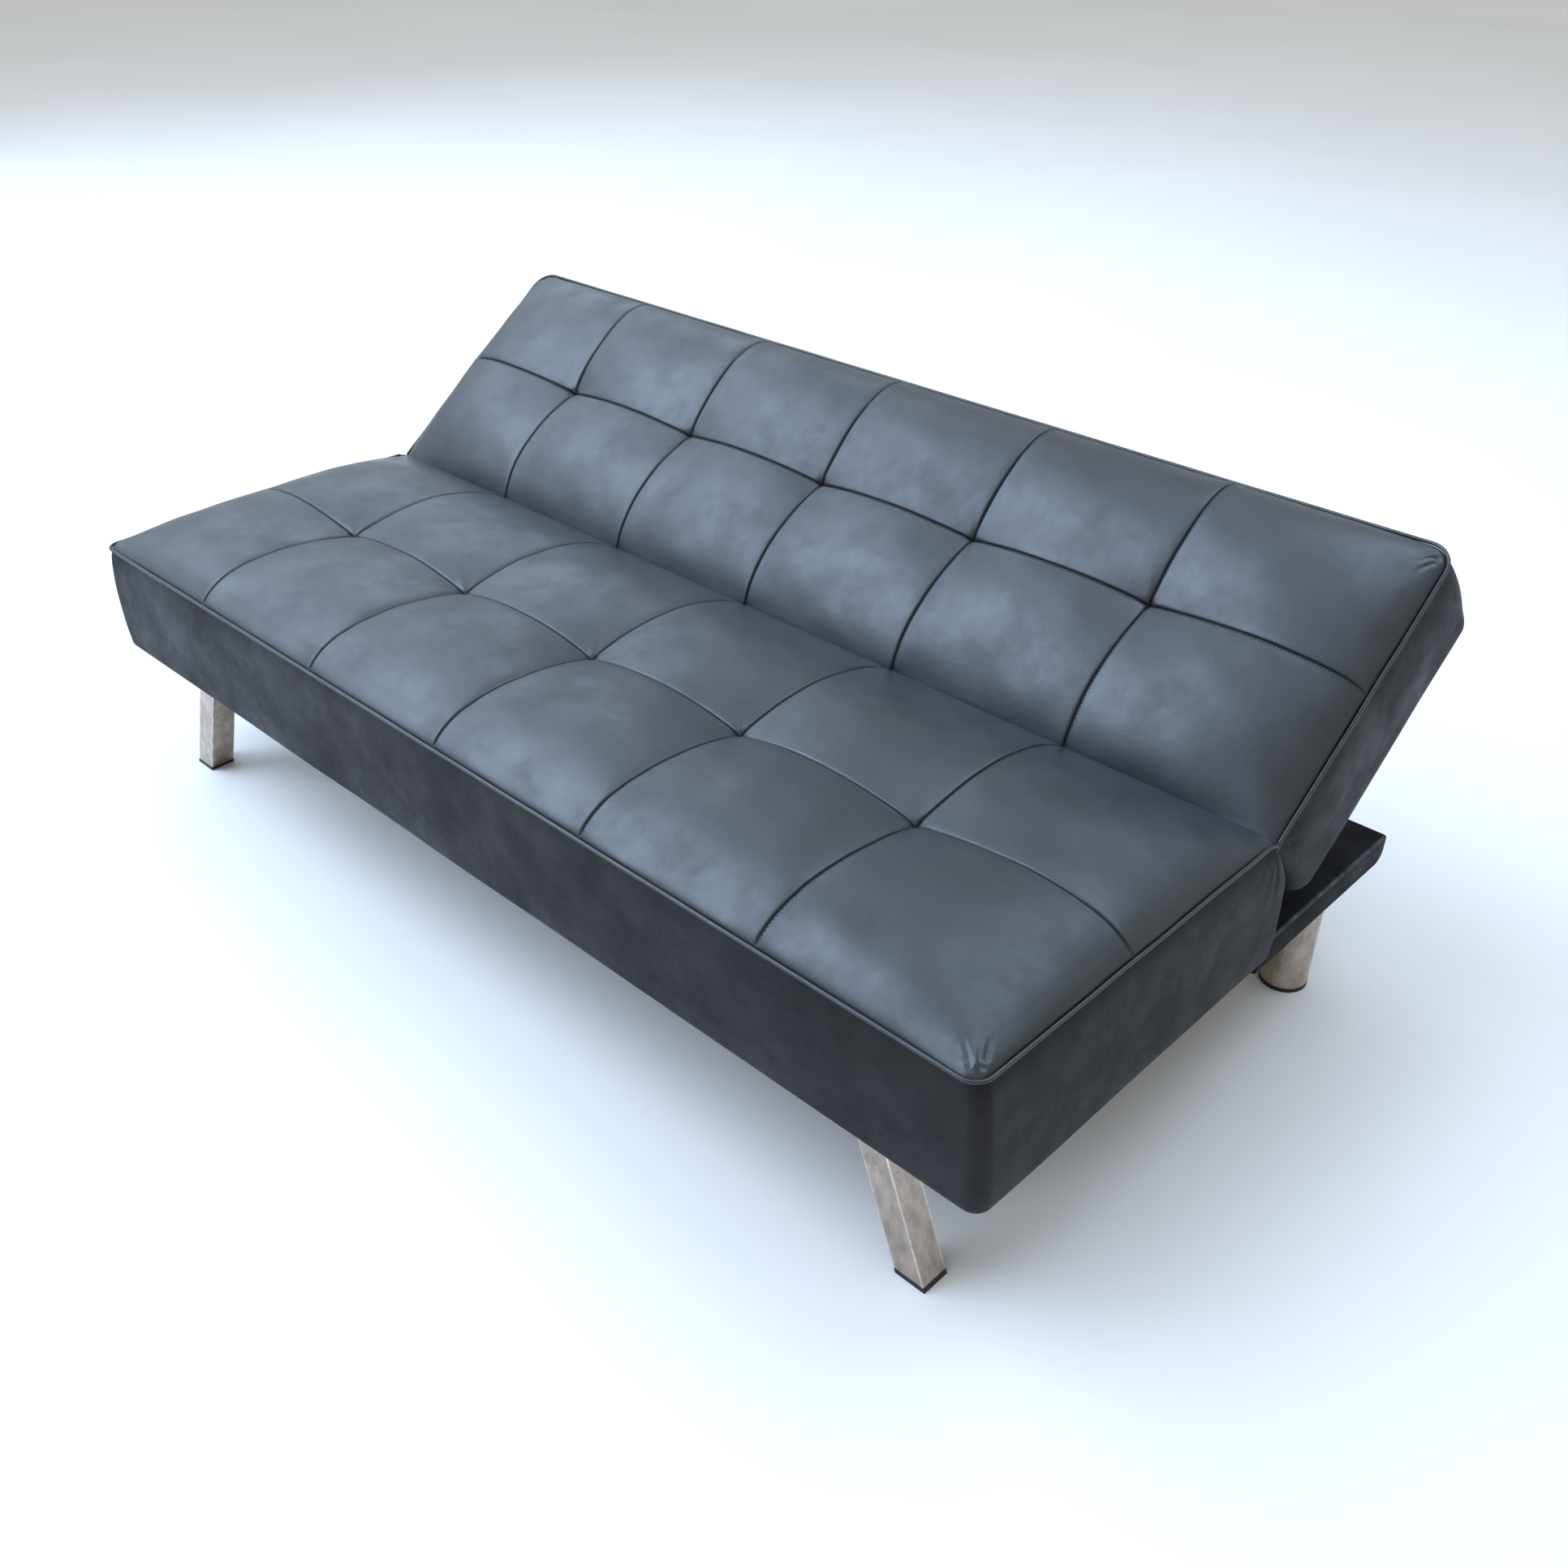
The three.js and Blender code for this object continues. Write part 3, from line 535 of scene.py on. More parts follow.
def sewn_panel(cushion, columns, rows):
    """The blown-up panel with its seam grooves, folds and puckers, and the painted shade of each point in the
    grooves and beside the welt.
    """
    drift = inflate(cushion)
    top = panel_points(cushion, columns, rows)
    across, along = seam_distances(cushion, top[..., 0], top[..., 1])
    swell = cubic(cubic(drift, rows * SIM_CELLS).swapaxes(0, 1), columns * SIM_CELLS).swapaxes(0, 1)
    swell[..., :2] *= smooth(np.minimum(across, along) / SEAM_CALM)[..., None]
    top += swell
    x, v = top[..., 0], top[..., 1]
    across, along = seam_distances(cushion, x, v)
    edge = np.minimum(HALF - np.abs(x), np.minimum(v, cushion.rows[-1] - v))
    held = smooth(edge / WELT_HOLD)
    top[..., 2] += puckers(cushion, x, v) + corner_folds(cushion, x, v) * held
    top[..., 2] += UNEVEN * waves(top[..., :2], 0.09, seed=3) * held
    top[..., 2] -= np.maximum(groove(across), groove(along)) * smooth(edge / SEAM_END)
    lip, lip_width, lip_place = SEAM_LIP
    top[..., 2] += lip * bell(signed_seam(cushion, x, v) - lip_place, lip_width) * held
    # painted shade: dark lines in the seam grooves and in the gap beside the welt
    shade = bell(np.minimum(across, along), SEAM_SHADE) + bell(edge - WELT_SHADE, SEAM_SHADE)
    return round_corners(top, cushion.rings[0], cushion), np.minimum(1, shade).ravel()


RING_STEP = 0.006
STILL_RINGS = 2  # the rings beside the welt keep still
PUSH_START = 0.006  # the boxing's folds start this far under the welt
PUSH_FADE = 0.02
BASE_SKIN = 0.003


def boxing_levels(cushion):
    """The cushion's rings and smooth ones between them, about RING_STEP apart."""
    steps = np.linalg.norm(np.diff(cushion.rings[:, [0, 2]], axis=0), axis=1)
    counts = np.maximum(1, np.round(steps / RING_STEP))
    places = np.concatenate([i + np.arange(count) / count for i, count in enumerate(counts)])
    return cubic(cushion.rings, np.append(places, len(steps)))[1:]


def push_boxing(cushion, mesh, points, first):
    """Moves the boxing, the points from the first on, along its normals by its folds."""
    push = np.zeros(len(points))
    below = np.arange(len(points)) >= first
    start = smooth((-points[below, 2] - PUSH_START) / PUSH_FADE)
    push[below] = boxing_folds(cushion, points)[below] * start
    push[points[:, 2] < cushion.rings[-1, 0] - BASE_SKIN] = 0  # the base stays flat
    set_points(mesh, get_points(mesh) + get_points(mesh, "normal") * push[:, None])


def build_cover(cushion, columns, rows):
    """The cover as one closed mesh, and the grid of its panel."""
    top, seam = sewn_panel(cushion, columns, rows)
    rim = rim_order(*top.shape[:2])
    flat = top.reshape(-1, 3)
    square = panel_points(cushion, columns, rows).reshape(-1, 3)[rim]
    loops = [ring_loop(cushion, square, ring) for ring in boxing_levels(cushion)]
    points = np.concatenate([flat, *loops])

    faces = grid_faces(*top.shape[:2])
    panel_faces = len(faces)
    count = len(rim)
    previous = rim
    for level in range(len(loops)):
        current = len(flat) + level * count + np.arange(count)
        faces += np.stack([previous, current, np.roll(current, -1), np.roll(previous, -1)], axis=-1).tolist()
        previous = current
    faces += base_faces(previous, *top.shape[:2])

    cover = new_object(cushion.name, cushion.place(points), faces)
    mesh = cover.data
    push_boxing(cushion, mesh, points, first=len(flat) + STILL_RINGS * count)
    # painted shade for the colour: the seam grooves, beside the welt, and fully along the rim under the
    # piping
    shade = np.zeros(len(points))
    shade[: len(flat)] = seam
    shade[rim] = 1
    store(mesh, "seam", shade)
    on_boxing = np.arange(len(faces)) >= panel_faces
    mesh.polygons.foreach_set("material_index", on_boxing.astype(np.int32))
    cover.modifiers.new("finer", "SUBSURF").levels = 1
    apply_modifiers(cover)
    return cover, top


def skin(rings, sides, first=0):
    """Faces over a row of loops of points, with a cap at each end."""
    faces = [tuple(range(first, first + sides))[::-1]]
    for low in range(first, first + (rings - 1) * sides, sides):
        for j in range(sides):
            k = (j + 1) % sides
            faces.append((low + j, low + k, low + sides + k, low + sides + j))
    return faces + [tuple(range(first + (rings - 1) * sides, first + rings * sides))]


def circle(first, second, sides):
    """Unit circles in the planes of two rows of directions, as points indexed [circle, side]."""
    angle = 2 * math.pi * np.arange(sides) / sides
    return first[:, None] * np.cos(angle)[:, None] + second[:, None] * np.sin(angle)[:, None]


TUBE_SIDES = 10
NEARLY_UP = (0.13, 0.21, 0.97)  # no tube runs this way


def tube(name, path, radius):
    """A closed-ended tube along a row of points."""
    along = np.gradient(path, axis=0)
    along /= np.linalg.norm(along, axis=1, keepdims=True)
    across = np.cross(along, NEARLY_UP)
    across /= np.linalg.norm(across, axis=1, keepdims=True)
    rings = path[:, None] + radius * circle(across, np.cross(along, across), TUBE_SIDES)
    return new_object(name, rings.reshape(-1, 3), skin(len(path), TUBE_SIDES))


STITCH = 0.0032
STITCH_PITCH = 0.0050
STITCH_RADIUS = 0.00032
STITCH_SIDES = 6
STITCH_LINE = 3  # grid lines past the seam
STITCH_MARGIN = 0.012  # from each end of the seam
STITCH_SHAPE = [(0, -0.6, 0.6), (0.2, 0.5, 1), (0.8, 0.5, 1), (1, -0.6, 0.6)]  # place, lift, thickness


def stitch_ends(line, beside):
    """Both ends of every stitch along a line of the panel, and the panel's normal there."""
    along = np.gradient(line, axis=0)
    normal = np.cross(along, beside - line)
    normal *= np.sign(normal[:, 2:]) / np.linalg.norm(normal, axis=1, keepdims=True)
    reach = np.concatenate([[0], np.cumsum(np.linalg.norm(np.diff(line, axis=0), axis=1))])
    start = np.arange(STITCH_MARGIN, reach[-1] - STITCH_MARGIN, STITCH_PITCH)

    def at(values, place):
        return np.stack([np.interp(place, reach, values[:, axis]) for axis in range(3)], axis=-1)

    return at(line, start), at(line, start + STITCH), at(normal, start + STITCH / 2)


def build_stitches(cushion, name, top, columns, rows):
    """Topstitching on one side of every seam: each stitch is a short thread, sunk at its ends."""
    lines = []
    for seam in range(1, COLUMN_PANELS):
        line = np.flatnonzero(columns == seam)[0] + STITCH_LINE
        lines.append(stitch_ends(top[:, line], top[:, line + 1]))
    line = np.flatnonzero(rows == 1)[0] - STITCH_LINE
    lines.append(stitch_ends(top[line], top[line - 1]))
    low, high, normal = (np.concatenate(part) for part in zip(*lines))
    side = np.cross(high - low, normal)
    side /= np.linalg.norm(side, axis=1, keepdims=True)
    round_thread = circle(side, normal, STITCH_SIDES)
    rings = []
    for place, lift, thickness in STITCH_SHAPE:
        centre = low + place * (high - low) + lift * STITCH_RADIUS * normal
        rings.append(centre[:, None] + thickness * STITCH_RADIUS * round_thread)
    points = np.stack(rings, axis=1).reshape(-1, 3)
    faces = []
    for first in range(0, len(points), len(STITCH_SHAPE) * STITCH_SIDES):
        faces += [face[::-1] for face in skin(len(STITCH_SHAPE), STITCH_SIDES, first)]
    return new_object(name, cushion.place(points), faces)


WELT_SEAT = 0.0019  # the piping's middle lies this far outside the panel's edge
WELT_RISE = 0.0020  # and above it
WELT_SINK = 0.005  # it dives by this into the crease
WELT_DIVE = 0.012  # over this distance
WELT_WANDER = 0.0004  # it isn't quite straight
WELT_START = 0.002  # it starts this far past the crease


def build_welt(cushion, name):
    """Piping round the free edges of the panel, ending in the crease."""
    radius = cushion.rings[0, 5]
    free, crease, inward = cushion.free, cushion.crease, cushion.inward
    outside = radius + WELT_SEAT
    sides = np.linspace(crease + inward * WELT_START, free + inward * radius, 90)
    front = np.linspace(HALF - radius, radius - HALF, 240)[1:-1]
    turn = np.linspace(0, math.pi / 2, 9)[1:]
    corner_x = HALF - radius + outside * np.cos(turn)
    corner_v = free + inward * (radius - outside * np.sin(turn))
    half_path = [(HALF + WELT_SEAT, v) for v in sides] + list(zip(corner_x, corner_v))
    along = [(x, free - inward * WELT_SEAT) for x in front]
    plan = np.array(half_path + along + [(-x, v) for x, v in half_path[::-1]])
    height = WELT_RISE - WELT_SINK * smooth(1 - np.abs(plan[:, 1] - crease) / WELT_DIVE)
    wander = WELT_WANDER * waves(plan, 0.12, seed=21)
    local = np.column_stack([plan, height + wander])
    return tube(name, cushion.place(local), PIPING)


# ---- Materials ----
class Finish:
    """A Principled material built by short calls; texture places are the piece's own metres."""

    def __init__(self, name, roughness, metallic=0.0, specular=0.5):
        self.material = bpy.data.materials.new(name)
        self.material.use_nodes = True
        self.tree = self.material.node_tree
        self.shader = self.tree.nodes["Principled BSDF"]
        self.set(Roughness=roughness, Metallic=metallic)
        self.shader.inputs["Specular IOR Level"].default_value = specular
        self.where = self.tree.nodes.new("ShaderNodeTexCoord").outputs["Object"]

    def set(self, **inputs):
        for key, value in inputs.items():
            self.shader.inputs[key.replace("_", " ")].default_value = value

    def link(self, source, target):
        self.tree.links.new(source, target)

    def noise(self, scale, detail=3.0, roughness=0.5, stretch=None):
        node = self.tree.nodes.new("ShaderNodeTexNoise")
        node.inputs["Scale"].default_value = scale
        node.inputs["Detail"].default_value = detail
        node.inputs["Roughness"].default_value = roughness
        if stretch is None:
            self.link(self.where, node.inputs["Vector"])
        else:
            mapping = self.tree.nodes.new("ShaderNodeMapping")
            mapping.inputs["Scale"].default_value = stretch
            self.link(self.where, mapping.inputs["Vector"])
            self.link(mapping.outputs["Vector"], node.inputs["Vector"])
        return node.outputs["Fac"]

    def axes(self):
        """The outputs X, Y and Z of the place."""
        split = self.tree.nodes.new("ShaderNodeSeparateXYZ")
        self.link(self.where, split.inputs["Vector"])
        return split.outputs

    def cells(self, scale):
        node = self.tree.nodes.new("ShaderNodeTexVoronoi")
        node.feature = "DISTANCE_TO_EDGE"
        node.inputs["Scale"].default_value = scale
        self.link(self.where, node.inputs["Vector"])
        return node.outputs["Distance"]

    def attribute(self, name):
        node = self.tree.nodes.new("ShaderNodeAttribute")
        node.attribute_name = name
        return node.outputs["Fac"]

    def ramp(self, value, *stops):
        node = self.tree.nodes.new("ShaderNodeValToRGB")
        elements = node.color_ramp.elements
        while len(elements) < len(stops):
            elements.new(0.5)
        for element, (place, colour) in zip(elements, stops):
            element.position = place
            element.color = (*colour, 1)
        self.link(value, node.inputs["Fac"])
        return node.outputs["Color"]

    def spread(self, value, low, high, source=(0.3, 0.7)):
        node = self.tree.nodes.new("ShaderNodeMapRange")
        node.inputs["From Min"].default_value = source[0]
        node.inputs["From Max"].default_value = source[1]
        node.inputs["To Min"].default_value = low
        node.inputs["To Max"].default_value = high
        self.link(value, node.inputs["Value"])
        return node.outputs["Result"]

    def math(self, operation, *sources):
        node = self.tree.nodes.new("ShaderNodeMath")
        node.operation = operation
        for source, target in zip(sources, node.inputs):
            if isinstance(source, float):
                target.default_value = source
            else:
                self.link(source, target)
        return node.outputs[0]

    def distance(self, value, place):
        return self.math("ABSOLUTE", self.math("SUBTRACT", value, float(place)))

    def mix(self, share, first, second):
        node = self.tree.nodes.new("ShaderNodeMix")
        node.data_type = "RGBA"
        self.link(share, node.inputs["Factor"])
        for source, target in ((first, node.inputs["A"]), (second, node.inputs["B"])):
            if isinstance(source, tuple):
                target.default_value = (*source, 1)
            else:
                self.link(source, target)
        return node.outputs["Result"]

    def bump(self, *layers):
        """Stacks bump layers, each (height, strength, distance)."""
        normal = None
        for height, strength, distance in layers:
            node = self.tree.nodes.new("ShaderNodeBump")
            node.inputs["Strength"].default_value = strength
            node.inputs["Distance"].default_value = distance
            self.link(height, node.inputs["Height"])
            if normal is not None:
                self.link(normal, node.inputs["Normal"])
            normal = node.outputs["Normal"]
        self.link(normal, self.shader.inputs["Normal"])

    def colour(self, source):
        self.link(source, self.shader.inputs["Base Color"])

    def rough(self, source):
        self.link(source, self.shader.inputs["Roughness"])


LEATHER_SHADOW = (0.004, 0.004, 0.005)
# painted shade: the colour of the seam grooves and of the gap beside the welt
SEAM_PAINTED_SHADE = (0.001, 0.001, 0.00125)
# painted highlight: the pale colour along a box's upper edges
PAINTED_BOX_EDGE_HIGHLIGHT = (0.16, 0.165, 0.17)
SKY_SHEEN = (0.62, 0.74, 1.0, 1)


def leatherette(name, slate, green, roughness=0.42, specular=0.4, coat=0.0, painted_seam_shade=False, highlight_box=None):
    """Mottled between slate and green, with painted shade in the seam grooves or a painted highlight along
    the upper edges of a given box.
    """
    finish = Finish(name, roughness, specular=specular)
    finish.set(Sheen_Weight=0.03, Sheen_Roughness=0.4, Coat_Weight=coat, Coat_Roughness=0.42)
    finish.set(Sheen_Tint=SKY_SHEEN)
    base = finish.mix(finish.spread(finish.noise(2.6, 2), 0, 1), slate, green)
    mottled = finish.mix(finish.spread(finish.noise(38, 5, 0.6), 0, 0.45), base, LEATHER_SHADOW)
    # painted shade in the seam grooves and beside the welt, read from the seam attribute
    if painted_seam_shade:
        mottled = finish.mix(finish.attribute("seam"), mottled, SEAM_PAINTED_SHADE)
    # painted highlight: a pale line along the upper edges of the given box
    if highlight_box:
        mottled = finish.mix(edge_highlight_mask(finish, *highlight_box), mottled, PAINTED_BOX_EDGE_HIGHLIGHT)
    finish.colour(mottled)
    smoothest, roughest = roughness - 0.11, roughness + 0.14
    finish.rough(finish.spread(finish.noise(11, 6, 0.68), smoothest, roughest, (0.35, 0.65)))
    finish.bump(
        (finish.noise(16, 4, 0.55), 0.15, 0.004),  # broad unevenness of the padding
        (finish.noise(85, 4, 0.6), 0.22, 0.0010),  # creasing
        (finish.cells(620), 0.28, 0.0006),  # pebbled grain
        (finish.noise(1500, 2), 0.15, 0.0003),  # pores
    )
    return finish.material


def edge_highlight_mask(finish, low, high, width=0.005):
    """A mask of painted highlight along the upper edges of the box from low to high, all but the front one.
    """
    where = finish.axes()
    edge = 0.2 * width  # the mask is full this far in

    def near(axis, face, inward):
        return finish.spread(where[axis], 0, 1, (face + inward * width, face + inward * edge))

    top = near("Z", high.z, -1)
    ends = finish.math("MAXIMUM", near("X", high.x, -1), near("X", low.x, 1))
    mask = finish.math("MULTIPLY", top, finish.math("MAXIMUM", ends, near("Y", high.y, -1)))
    return finish.math("MULTIPLY", mask, finish.spread(finish.noise(45, 4), 0.15, 0.9))


def lining():
    finish = Finish("black_lining", 0.95, specular=0.2)
    weave = finish.noise(900, 2, stretch=(1, 0.35, 1))
    dark, pale = (0.006, 0.006, 0.007), (0.022, 0.022, 0.024)
    finish.colour(finish.ramp(weave, (0.3, dark), (0.7, pale)))
    finish.bump((weave, 0.6, 0.0008), (finish.noise(12, 3), 0.4, 0.006))
    return finish.material


LEG_WIDER = 0.002  # how much wider than deep the front legs are
EDGE_HIGHLIGHT_BAND = (0.0020, 0.0009)  # where the painted highlight line starts and is full, from the edge
PAINTED_LEG_HIGHLIGHT = (0.86, 0.80, 0.74)


def leg_edge_highlight(finish):
    """A mask of painted highlight along the long edges of the two front legs, which lean and mirror each
    other.
    """
    low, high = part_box("front_leg_right")
    depth = high.y - low.y
    width = depth + LEG_WIDER
    lean = (high.x - low.x - width) / (high.z - low.z)
    where = finish.axes()
    upright = finish.math("MULTIPLY_ADD", where["Z"], lean, finish.math("ABSOLUTE", where["X"]))
    across = finish.distance(upright, high.x - width / 2 + lean * low.z)
    along = finish.distance(where["Y"], (low.y + high.y) / 2)
    start, full = EDGE_HIGHLIGHT_BAND
    near = [
        finish.spread(across, 0, 1, (width / 2 - start, width / 2 - full)),
        finish.spread(along, 0, 1, (depth / 2 - start, depth / 2 - full)),
    ]
    return finish.math("MULTIPLY", finish.math("MULTIPLY", *near), finish.spread(finish.noise(70, 4), 0.3, 1))


def chrome(name, painted_highlight=False):
    finish = Finish(name, 0.2, metallic=1.0)
    # blotchy tone: partly wear, partly painted reflections of the surroundings
    blotches_and_painted_reflections = finish.noise(60, 6, 0.66, stretch=(1, 1, 0.5))
    dull, plain, bright = (0.33, 0.27, 0.225), (0.45, 0.375, 0.32), (0.58, 0.49, 0.42)
    tone = finish.ramp(blotches_and_painted_reflections, (0.3, dull), (0.5, plain), (0.7, bright))
    # painted highlight: a pale line in the colour along the front legs' long edges
    if painted_highlight:
        tone = finish.mix(leg_edge_highlight(finish), tone, PAINTED_LEG_HIGHLIGHT)
    finish.colour(tone)
    finish.rough(finish.spread(finish.noise(120, 5, 0.65), 0.20, 0.38))
    finish.bump((finish.noise(300, 3), 0.04, 0.0004))
    return finish.material


def zinc():
    finish = Finish("zinc_steel", 0.4, metallic=1.0)
    streaks = finish.noise(70, 4, stretch=(1, 6, 1))
    dark, pale = (0.28, 0.29, 0.31), (0.46, 0.47, 0.48)
    finish.colour(finish.ramp(streaks, (0.3, dark), (0.7, pale)))
    finish.rough(finish.spread(streaks, 0.32, 0.5))
    finish.bump((finish.noise(500, 2), 0.1, 0.0004))
    return finish.material


def wood():
    finish = Finish("timber", 0.75, specular=0.3)
    grain = finish.noise(26, 5, 0.6, stretch=(0.12, 1, 2.4))
    dark, plain, pale = (0.36, 0.22, 0.11), (0.55, 0.38, 0.21), (0.66, 0.49, 0.3)
    finish.colour(finish.ramp(grain, (0.3, dark), (0.55, plain), (0.75, pale)))
    finish.bump((grain, 0.3, 0.001))
    return finish.material


def plastic():
    finish = Finish("black_plastic", 0.55, specular=0.4)
    dark, pale = (0.008, 0.008, 0.009), (0.02, 0.02, 0.021)
    finish.colour(finish.ramp(finish.noise(80, 4), (0.3, dark), (0.7, pale)))
    finish.rough(finish.spread(finish.noise(40, 3), 0.45, 0.65))
    finish.bump((finish.noise(1200, 2), 0.3, 0.0003))
    return finish.material


def thread():
    finish = Finish("thread", 0.6, specular=0.3)
    dark, pale = (0.02, 0.021, 0.024), (0.055, 0.058, 0.065)
    finish.colour(finish.ramp(finish.noise(900, 2), (0.3, dark), (0.7, pale)))
    finish.bump((finish.noise(3000, 2), 0.4, 0.0002))
    return finish.material


def pale_floor():
    finish = Finish("floor", 0.85, specular=0.1)
    dark, pale = (0.82, 0.79, 0.75), (0.86, 0.83, 0.79)
    finish.colour(finish.ramp(finish.noise(0.8, 2), (0.3, dark), (0.7, pale)))
    return finish.material


# ---- Camera and light ----
def look(obj, forward, roll=0.0):
    obj.rotation_mode = "QUATERNION"
    turn = Matrix.Rotation(roll, 3, forward)
    obj.rotation_quaternion = turn.to_quaternion() @ forward.to_track_quat("-Z", "Y")


CAMERA_PLACE = (1.446, -1.3785, 1.401)
CAMERA_ANGLES = (43.44, 33.04, -0.527)  # round to the right of the front, down, and roll
SENSOR = 36
LENS = 35.91


def make_camera():
    azimuth, elevation, roll = (math.radians(angle) for angle in CAMERA_ANGLES)
    camera = bpy.data.objects.new("camera", bpy.data.cameras.new("camera"))
    bpy.context.scene.collection.objects.link(camera)
    camera.data.sensor_width = SENSOR
    camera.data.lens = LENS
    camera.location = CAMERA_PLACE
    level = Vector((-math.sin(azimuth), math.cos(azimuth), 0))
    look(camera, level * math.cos(elevation) - Vector((0, 0, math.sin(elevation))), roll)
    bpy.context.scene.camera = camera


SKY = (0.56, 0.73, 1.0)
MIDDLE = (0, 0, 0.4)  # the lights aim at the sofa's middle
FLOOR_REACH = 60.0


def soft_light(name, place, size, power, colour=SKY, aim=MIDDLE):
    data = bpy.data.lights.new(name, "AREA")
    data.shape = "RECTANGLE"
    data.size, data.size_y = size
    data.energy = power
    data.color = colour
    light = bpy.data.objects.new(name, data)
    light.location = place
    bpy.context.scene.collection.objects.link(light)
    look(light, (Vector(aim) - Vector(place)).normalized())


def make_studio():
    soft_light("window", place=(-4.6, 1.2, 3.6), size=(5.5, 3.6), power=122)
    soft_light("skylight", place=(-2.4, -2.1, 4.4), size=(4.6, 3.8), power=318)
    soft_light("fill", place=(-3.9, -4.7, 3.1), size=(4.0, 2.4), power=145, colour=(0.56, 0.72, 1.0))
    soft_light("ceiling", place=(0.9, 1.6, 4.2), size=(3.4, 3.0), power=110, aim=(0.1, 0, 0.4))
    world = bpy.data.worlds.new("studio")
    world.use_nodes = True
    background = world.node_tree.nodes["Background"]
    background.inputs["Color"].default_value = (0.91, 0.96, 0.98, 1)
    background.inputs["Strength"].default_value = 0.66
    bpy.context.scene.world = world
    bpy.context.scene.view_settings.view_transform = "Standard"
    corners = [(-1, -1, 0), (1, -1, 0), (1, 1, 0), (-1, 1, 0)]
    floor = new_object("floor", FLOOR_REACH * np.array(corners), [(0, 1, 2, 3)])
    floor.data.materials.append(pale_floor())


# ---- Assembly ----
def dress(obj, *materials):
    for material in materials:
        obj.data.materials.append(material)


EASE_ANGLE = math.radians(40)  # edges sharper than this are eased
LEG_EASE = 0.0010
BOARD_EASE = 0.004
BOARD_ROUND = 0.020  # radius of its lower rear edge


def ease(obj, width, segments=2):
    """Rounds the sharp edges a little."""
    bevel = obj.modifiers.new("eased", "BEVEL")
    bevel.width = width
    bevel.segments = segments
    bevel.limit_method = "ANGLE"
    bevel.angle_limit = EASE_ANGLE


def build_board():
    """The wrapped rear board: its edges are eased and its lower rear edge is rounded."""
    low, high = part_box("rear_board_wrap")
    y = high.y - BOARD_ROUND
    z = low.z + BOARD_ROUND
    turn = np.linspace(-math.pi / 2, 0, 7)
    arc = [(y + BOARD_ROUND * math.cos(a), z + BOARD_ROUND * math.sin(a)) for a in turn]
    outline = [(low.y, low.z), *arc, (high.y, high.z), (low.y, high.z)]
    points = [(x, *place) for x in (low.x, high.x) for place in outline]
    board = new_object("rear_board_cover", points, [face[::-1] for face in skin(2, len(outline))])
    ease(board, BOARD_EASE, 3)
    apply_modifiers(board)
    return board


STRIP_LAP = 0.012  # it laps this far onto the board and under the seat
STRIP_RISE = 0.0033  # its front edge stands this much higher, at the seat
STRIP_THICK = 0.0008
STRIP_GAP = 0.0002  # above the board
STRIP_INSET = 0.004  # from the board's ends
STRIP_WANDER = 0.0004


def build_join_strip():
    """A strip of lining that closes the slit between the seat's rear edge and the board."""
    low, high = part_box("rear_board_wrap")
    lap, rise, thick = STRIP_LAP, STRIP_RISE, STRIP_THICK
    upper = [(lap, thick), (0, thick), (-0.5 * lap, thick + 0.3 * rise), (-lap, thick + rise)]
    lower = [(-lap, rise), (-0.5 * lap, 0.3 * rise), (0, STRIP_GAP), (lap, STRIP_GAP)]
    outline = lower + upper
    stations = np.linspace(low.x + STRIP_INSET, high.x - STRIP_INSET, 60)
    points = np.array([(x, low.y + y, high.z + z) for x in stations for y, z in outline])
    points[:, 2] += STRIP_WANDER * (1 + waves(points[:, :1], 0.16, seed=31))
    faces = skin(len(stations), len(outline))
    return new_object("board_join_strip", points, faces, shade_smooth=False)


FINISHES = {
    "black_lining": lining(),
    # the square chrome has a painted highlight along its long edges
    "square_chrome": chrome("square_chrome", painted_highlight=True),
    "round_chrome": chrome("round_chrome"),
    "zinc_steel": zinc(),
    "timber": wood(),
    "black_plastic": plastic(),
}
TIMBER_NAMES = ("rail", "rib", "bearer_left", "bearer_right")


def finish_of(name):
    if "leg_mount" in name or "flange" in name:
        return "zinc_steel"
    if "_leg_" in name:
        return "square_chrome" if "front" in name else "round_chrome"
    if "foot_cap" in name:
        return "black_plastic"
    if "dust_cover" in name or "rear_panel" in name:
        return "black_lining"
    if name == "rear_board" or any(part in name for part in TIMBER_NAMES):
        return "timber"
    return "zinc_steel"


make_camera()
make_studio()
panel_leather = leatherette(
    "panel_leatherette",
    slate=(0.0105, 0.0115, 0.0145),
    green=(0.0075, 0.010, 0.0105),
    specular=0.62,
    coat=0.25,
    painted_seam_shade=True,
)
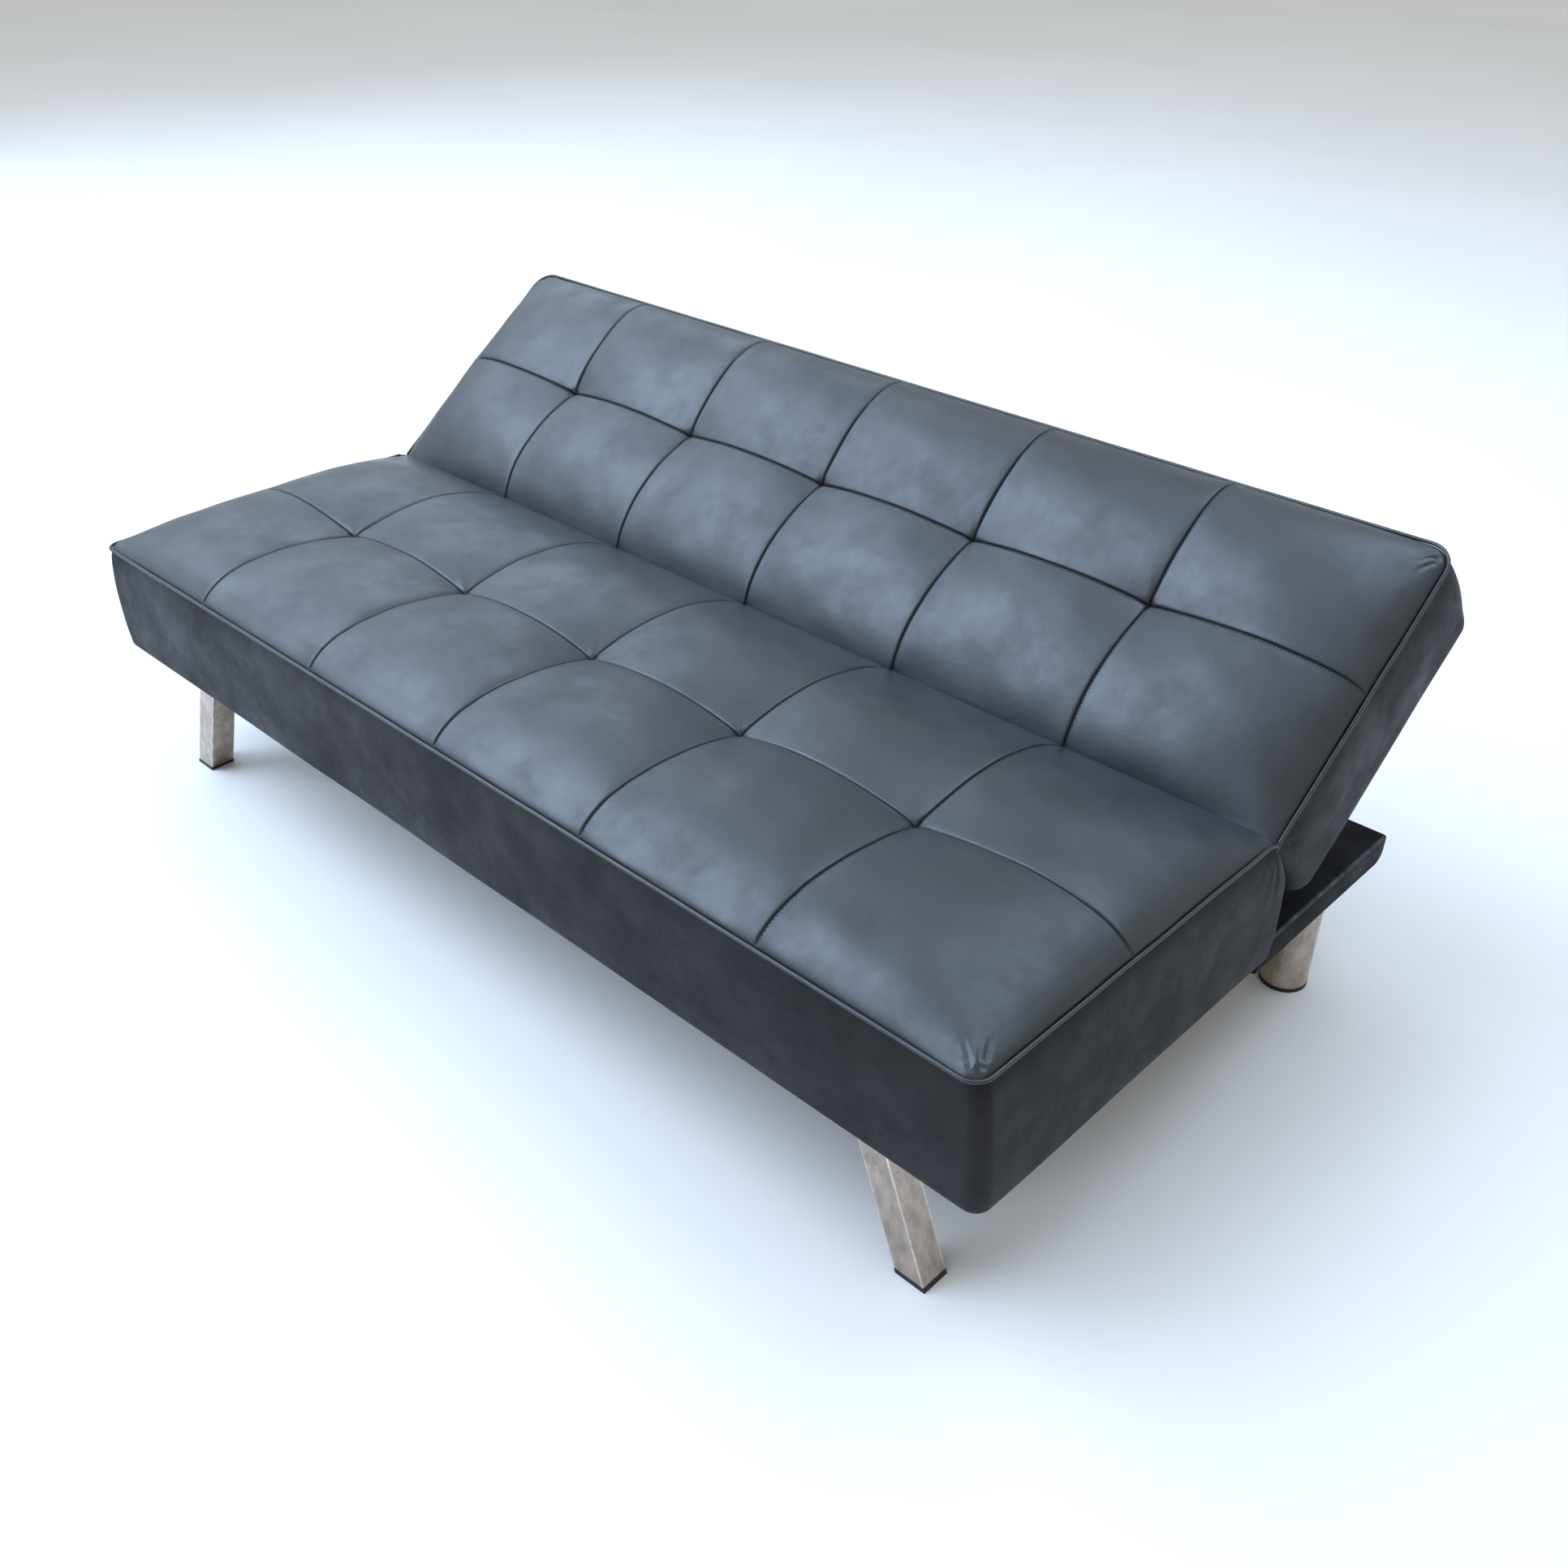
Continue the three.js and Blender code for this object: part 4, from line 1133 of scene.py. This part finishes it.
# painted shade: the boxing is the same leather as the panels, given as a copy with less gloss and a warmer
# tone to match how dark it looks in the light
boxing_leather_shade_copy = leatherette(
    "boxing_leatherette_shade_copy",
    slate=(0.0124, 0.0106, 0.0106),
    green=(0.0102, 0.0096, 0.0092),
    roughness=0.55,
    specular=0.19,
)
# painted highlight: the piping is the same leather as the panels, given as a paler, glossier copy so that it
# looks lit
piping_leather_lit_copy = leatherette(
    "piping_leatherette_lit_copy",
    slate=(0.018, 0.019, 0.024),
    green=(0.014, 0.016, 0.018),
    roughness=0.30,
    specular=0.6,
)
# painted shadow: the board's wrap is the same leather, given as a much darker, duller copy for the shadow
# under the backrest
board_leather_shadow_copy = leatherette(
    "board_leatherette",
    slate=(0.0036, 0.0037, 0.0042),
    green=(0.0030, 0.0032, 0.0034),
    roughness=0.6,
    specular=0.08,
    highlight_box=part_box("rear_board_wrap"),
)

for name, node in frame["nodes"].items():
    node.material_slots[0].material = FINISHES[finish_of(name)]
    if "front_leg_" in name or "foot_cap" in name:
        ease(node, LEG_EASE)

stitch_thread = thread()


def attach(piece, body):
    """Rides on the seat; a backrest piece has its place baked into its mesh and rides on no body."""
    if body == "seat":
        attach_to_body(piece, "seat")
    else:
        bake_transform(piece)


for cushion, part, body in ((SEAT, "seat", "seat"), (BACK, "back", "backrest")):
    columns, rows = graded(COLUMNS), graded(cushion.rows)
    cover, panel = build_cover(cushion, columns, rows)
    dress(cover, panel_leather, boxing_leather_shade_copy)
    attach(cover, body)
    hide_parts(f"{part}_cover", f"{part}_foam")

    piping = build_welt(cushion, f"{part}_piping")
    dress(piping, piping_leather_lit_copy)
    attach(piping, body)
    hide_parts(f"{part}_welt")

    stitches = build_stitches(cushion, f"{part}_stitches", panel, columns, rows)
    dress(stitches, stitch_thread)
    attach(stitches, body)

board = build_board()
dress(board, board_leather_shadow_copy)
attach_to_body(board, "seat")
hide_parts("rear_board_wrap")

strip = build_join_strip()
dress(strip, FINISHES["black_lining"])
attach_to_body(strip, "seat")
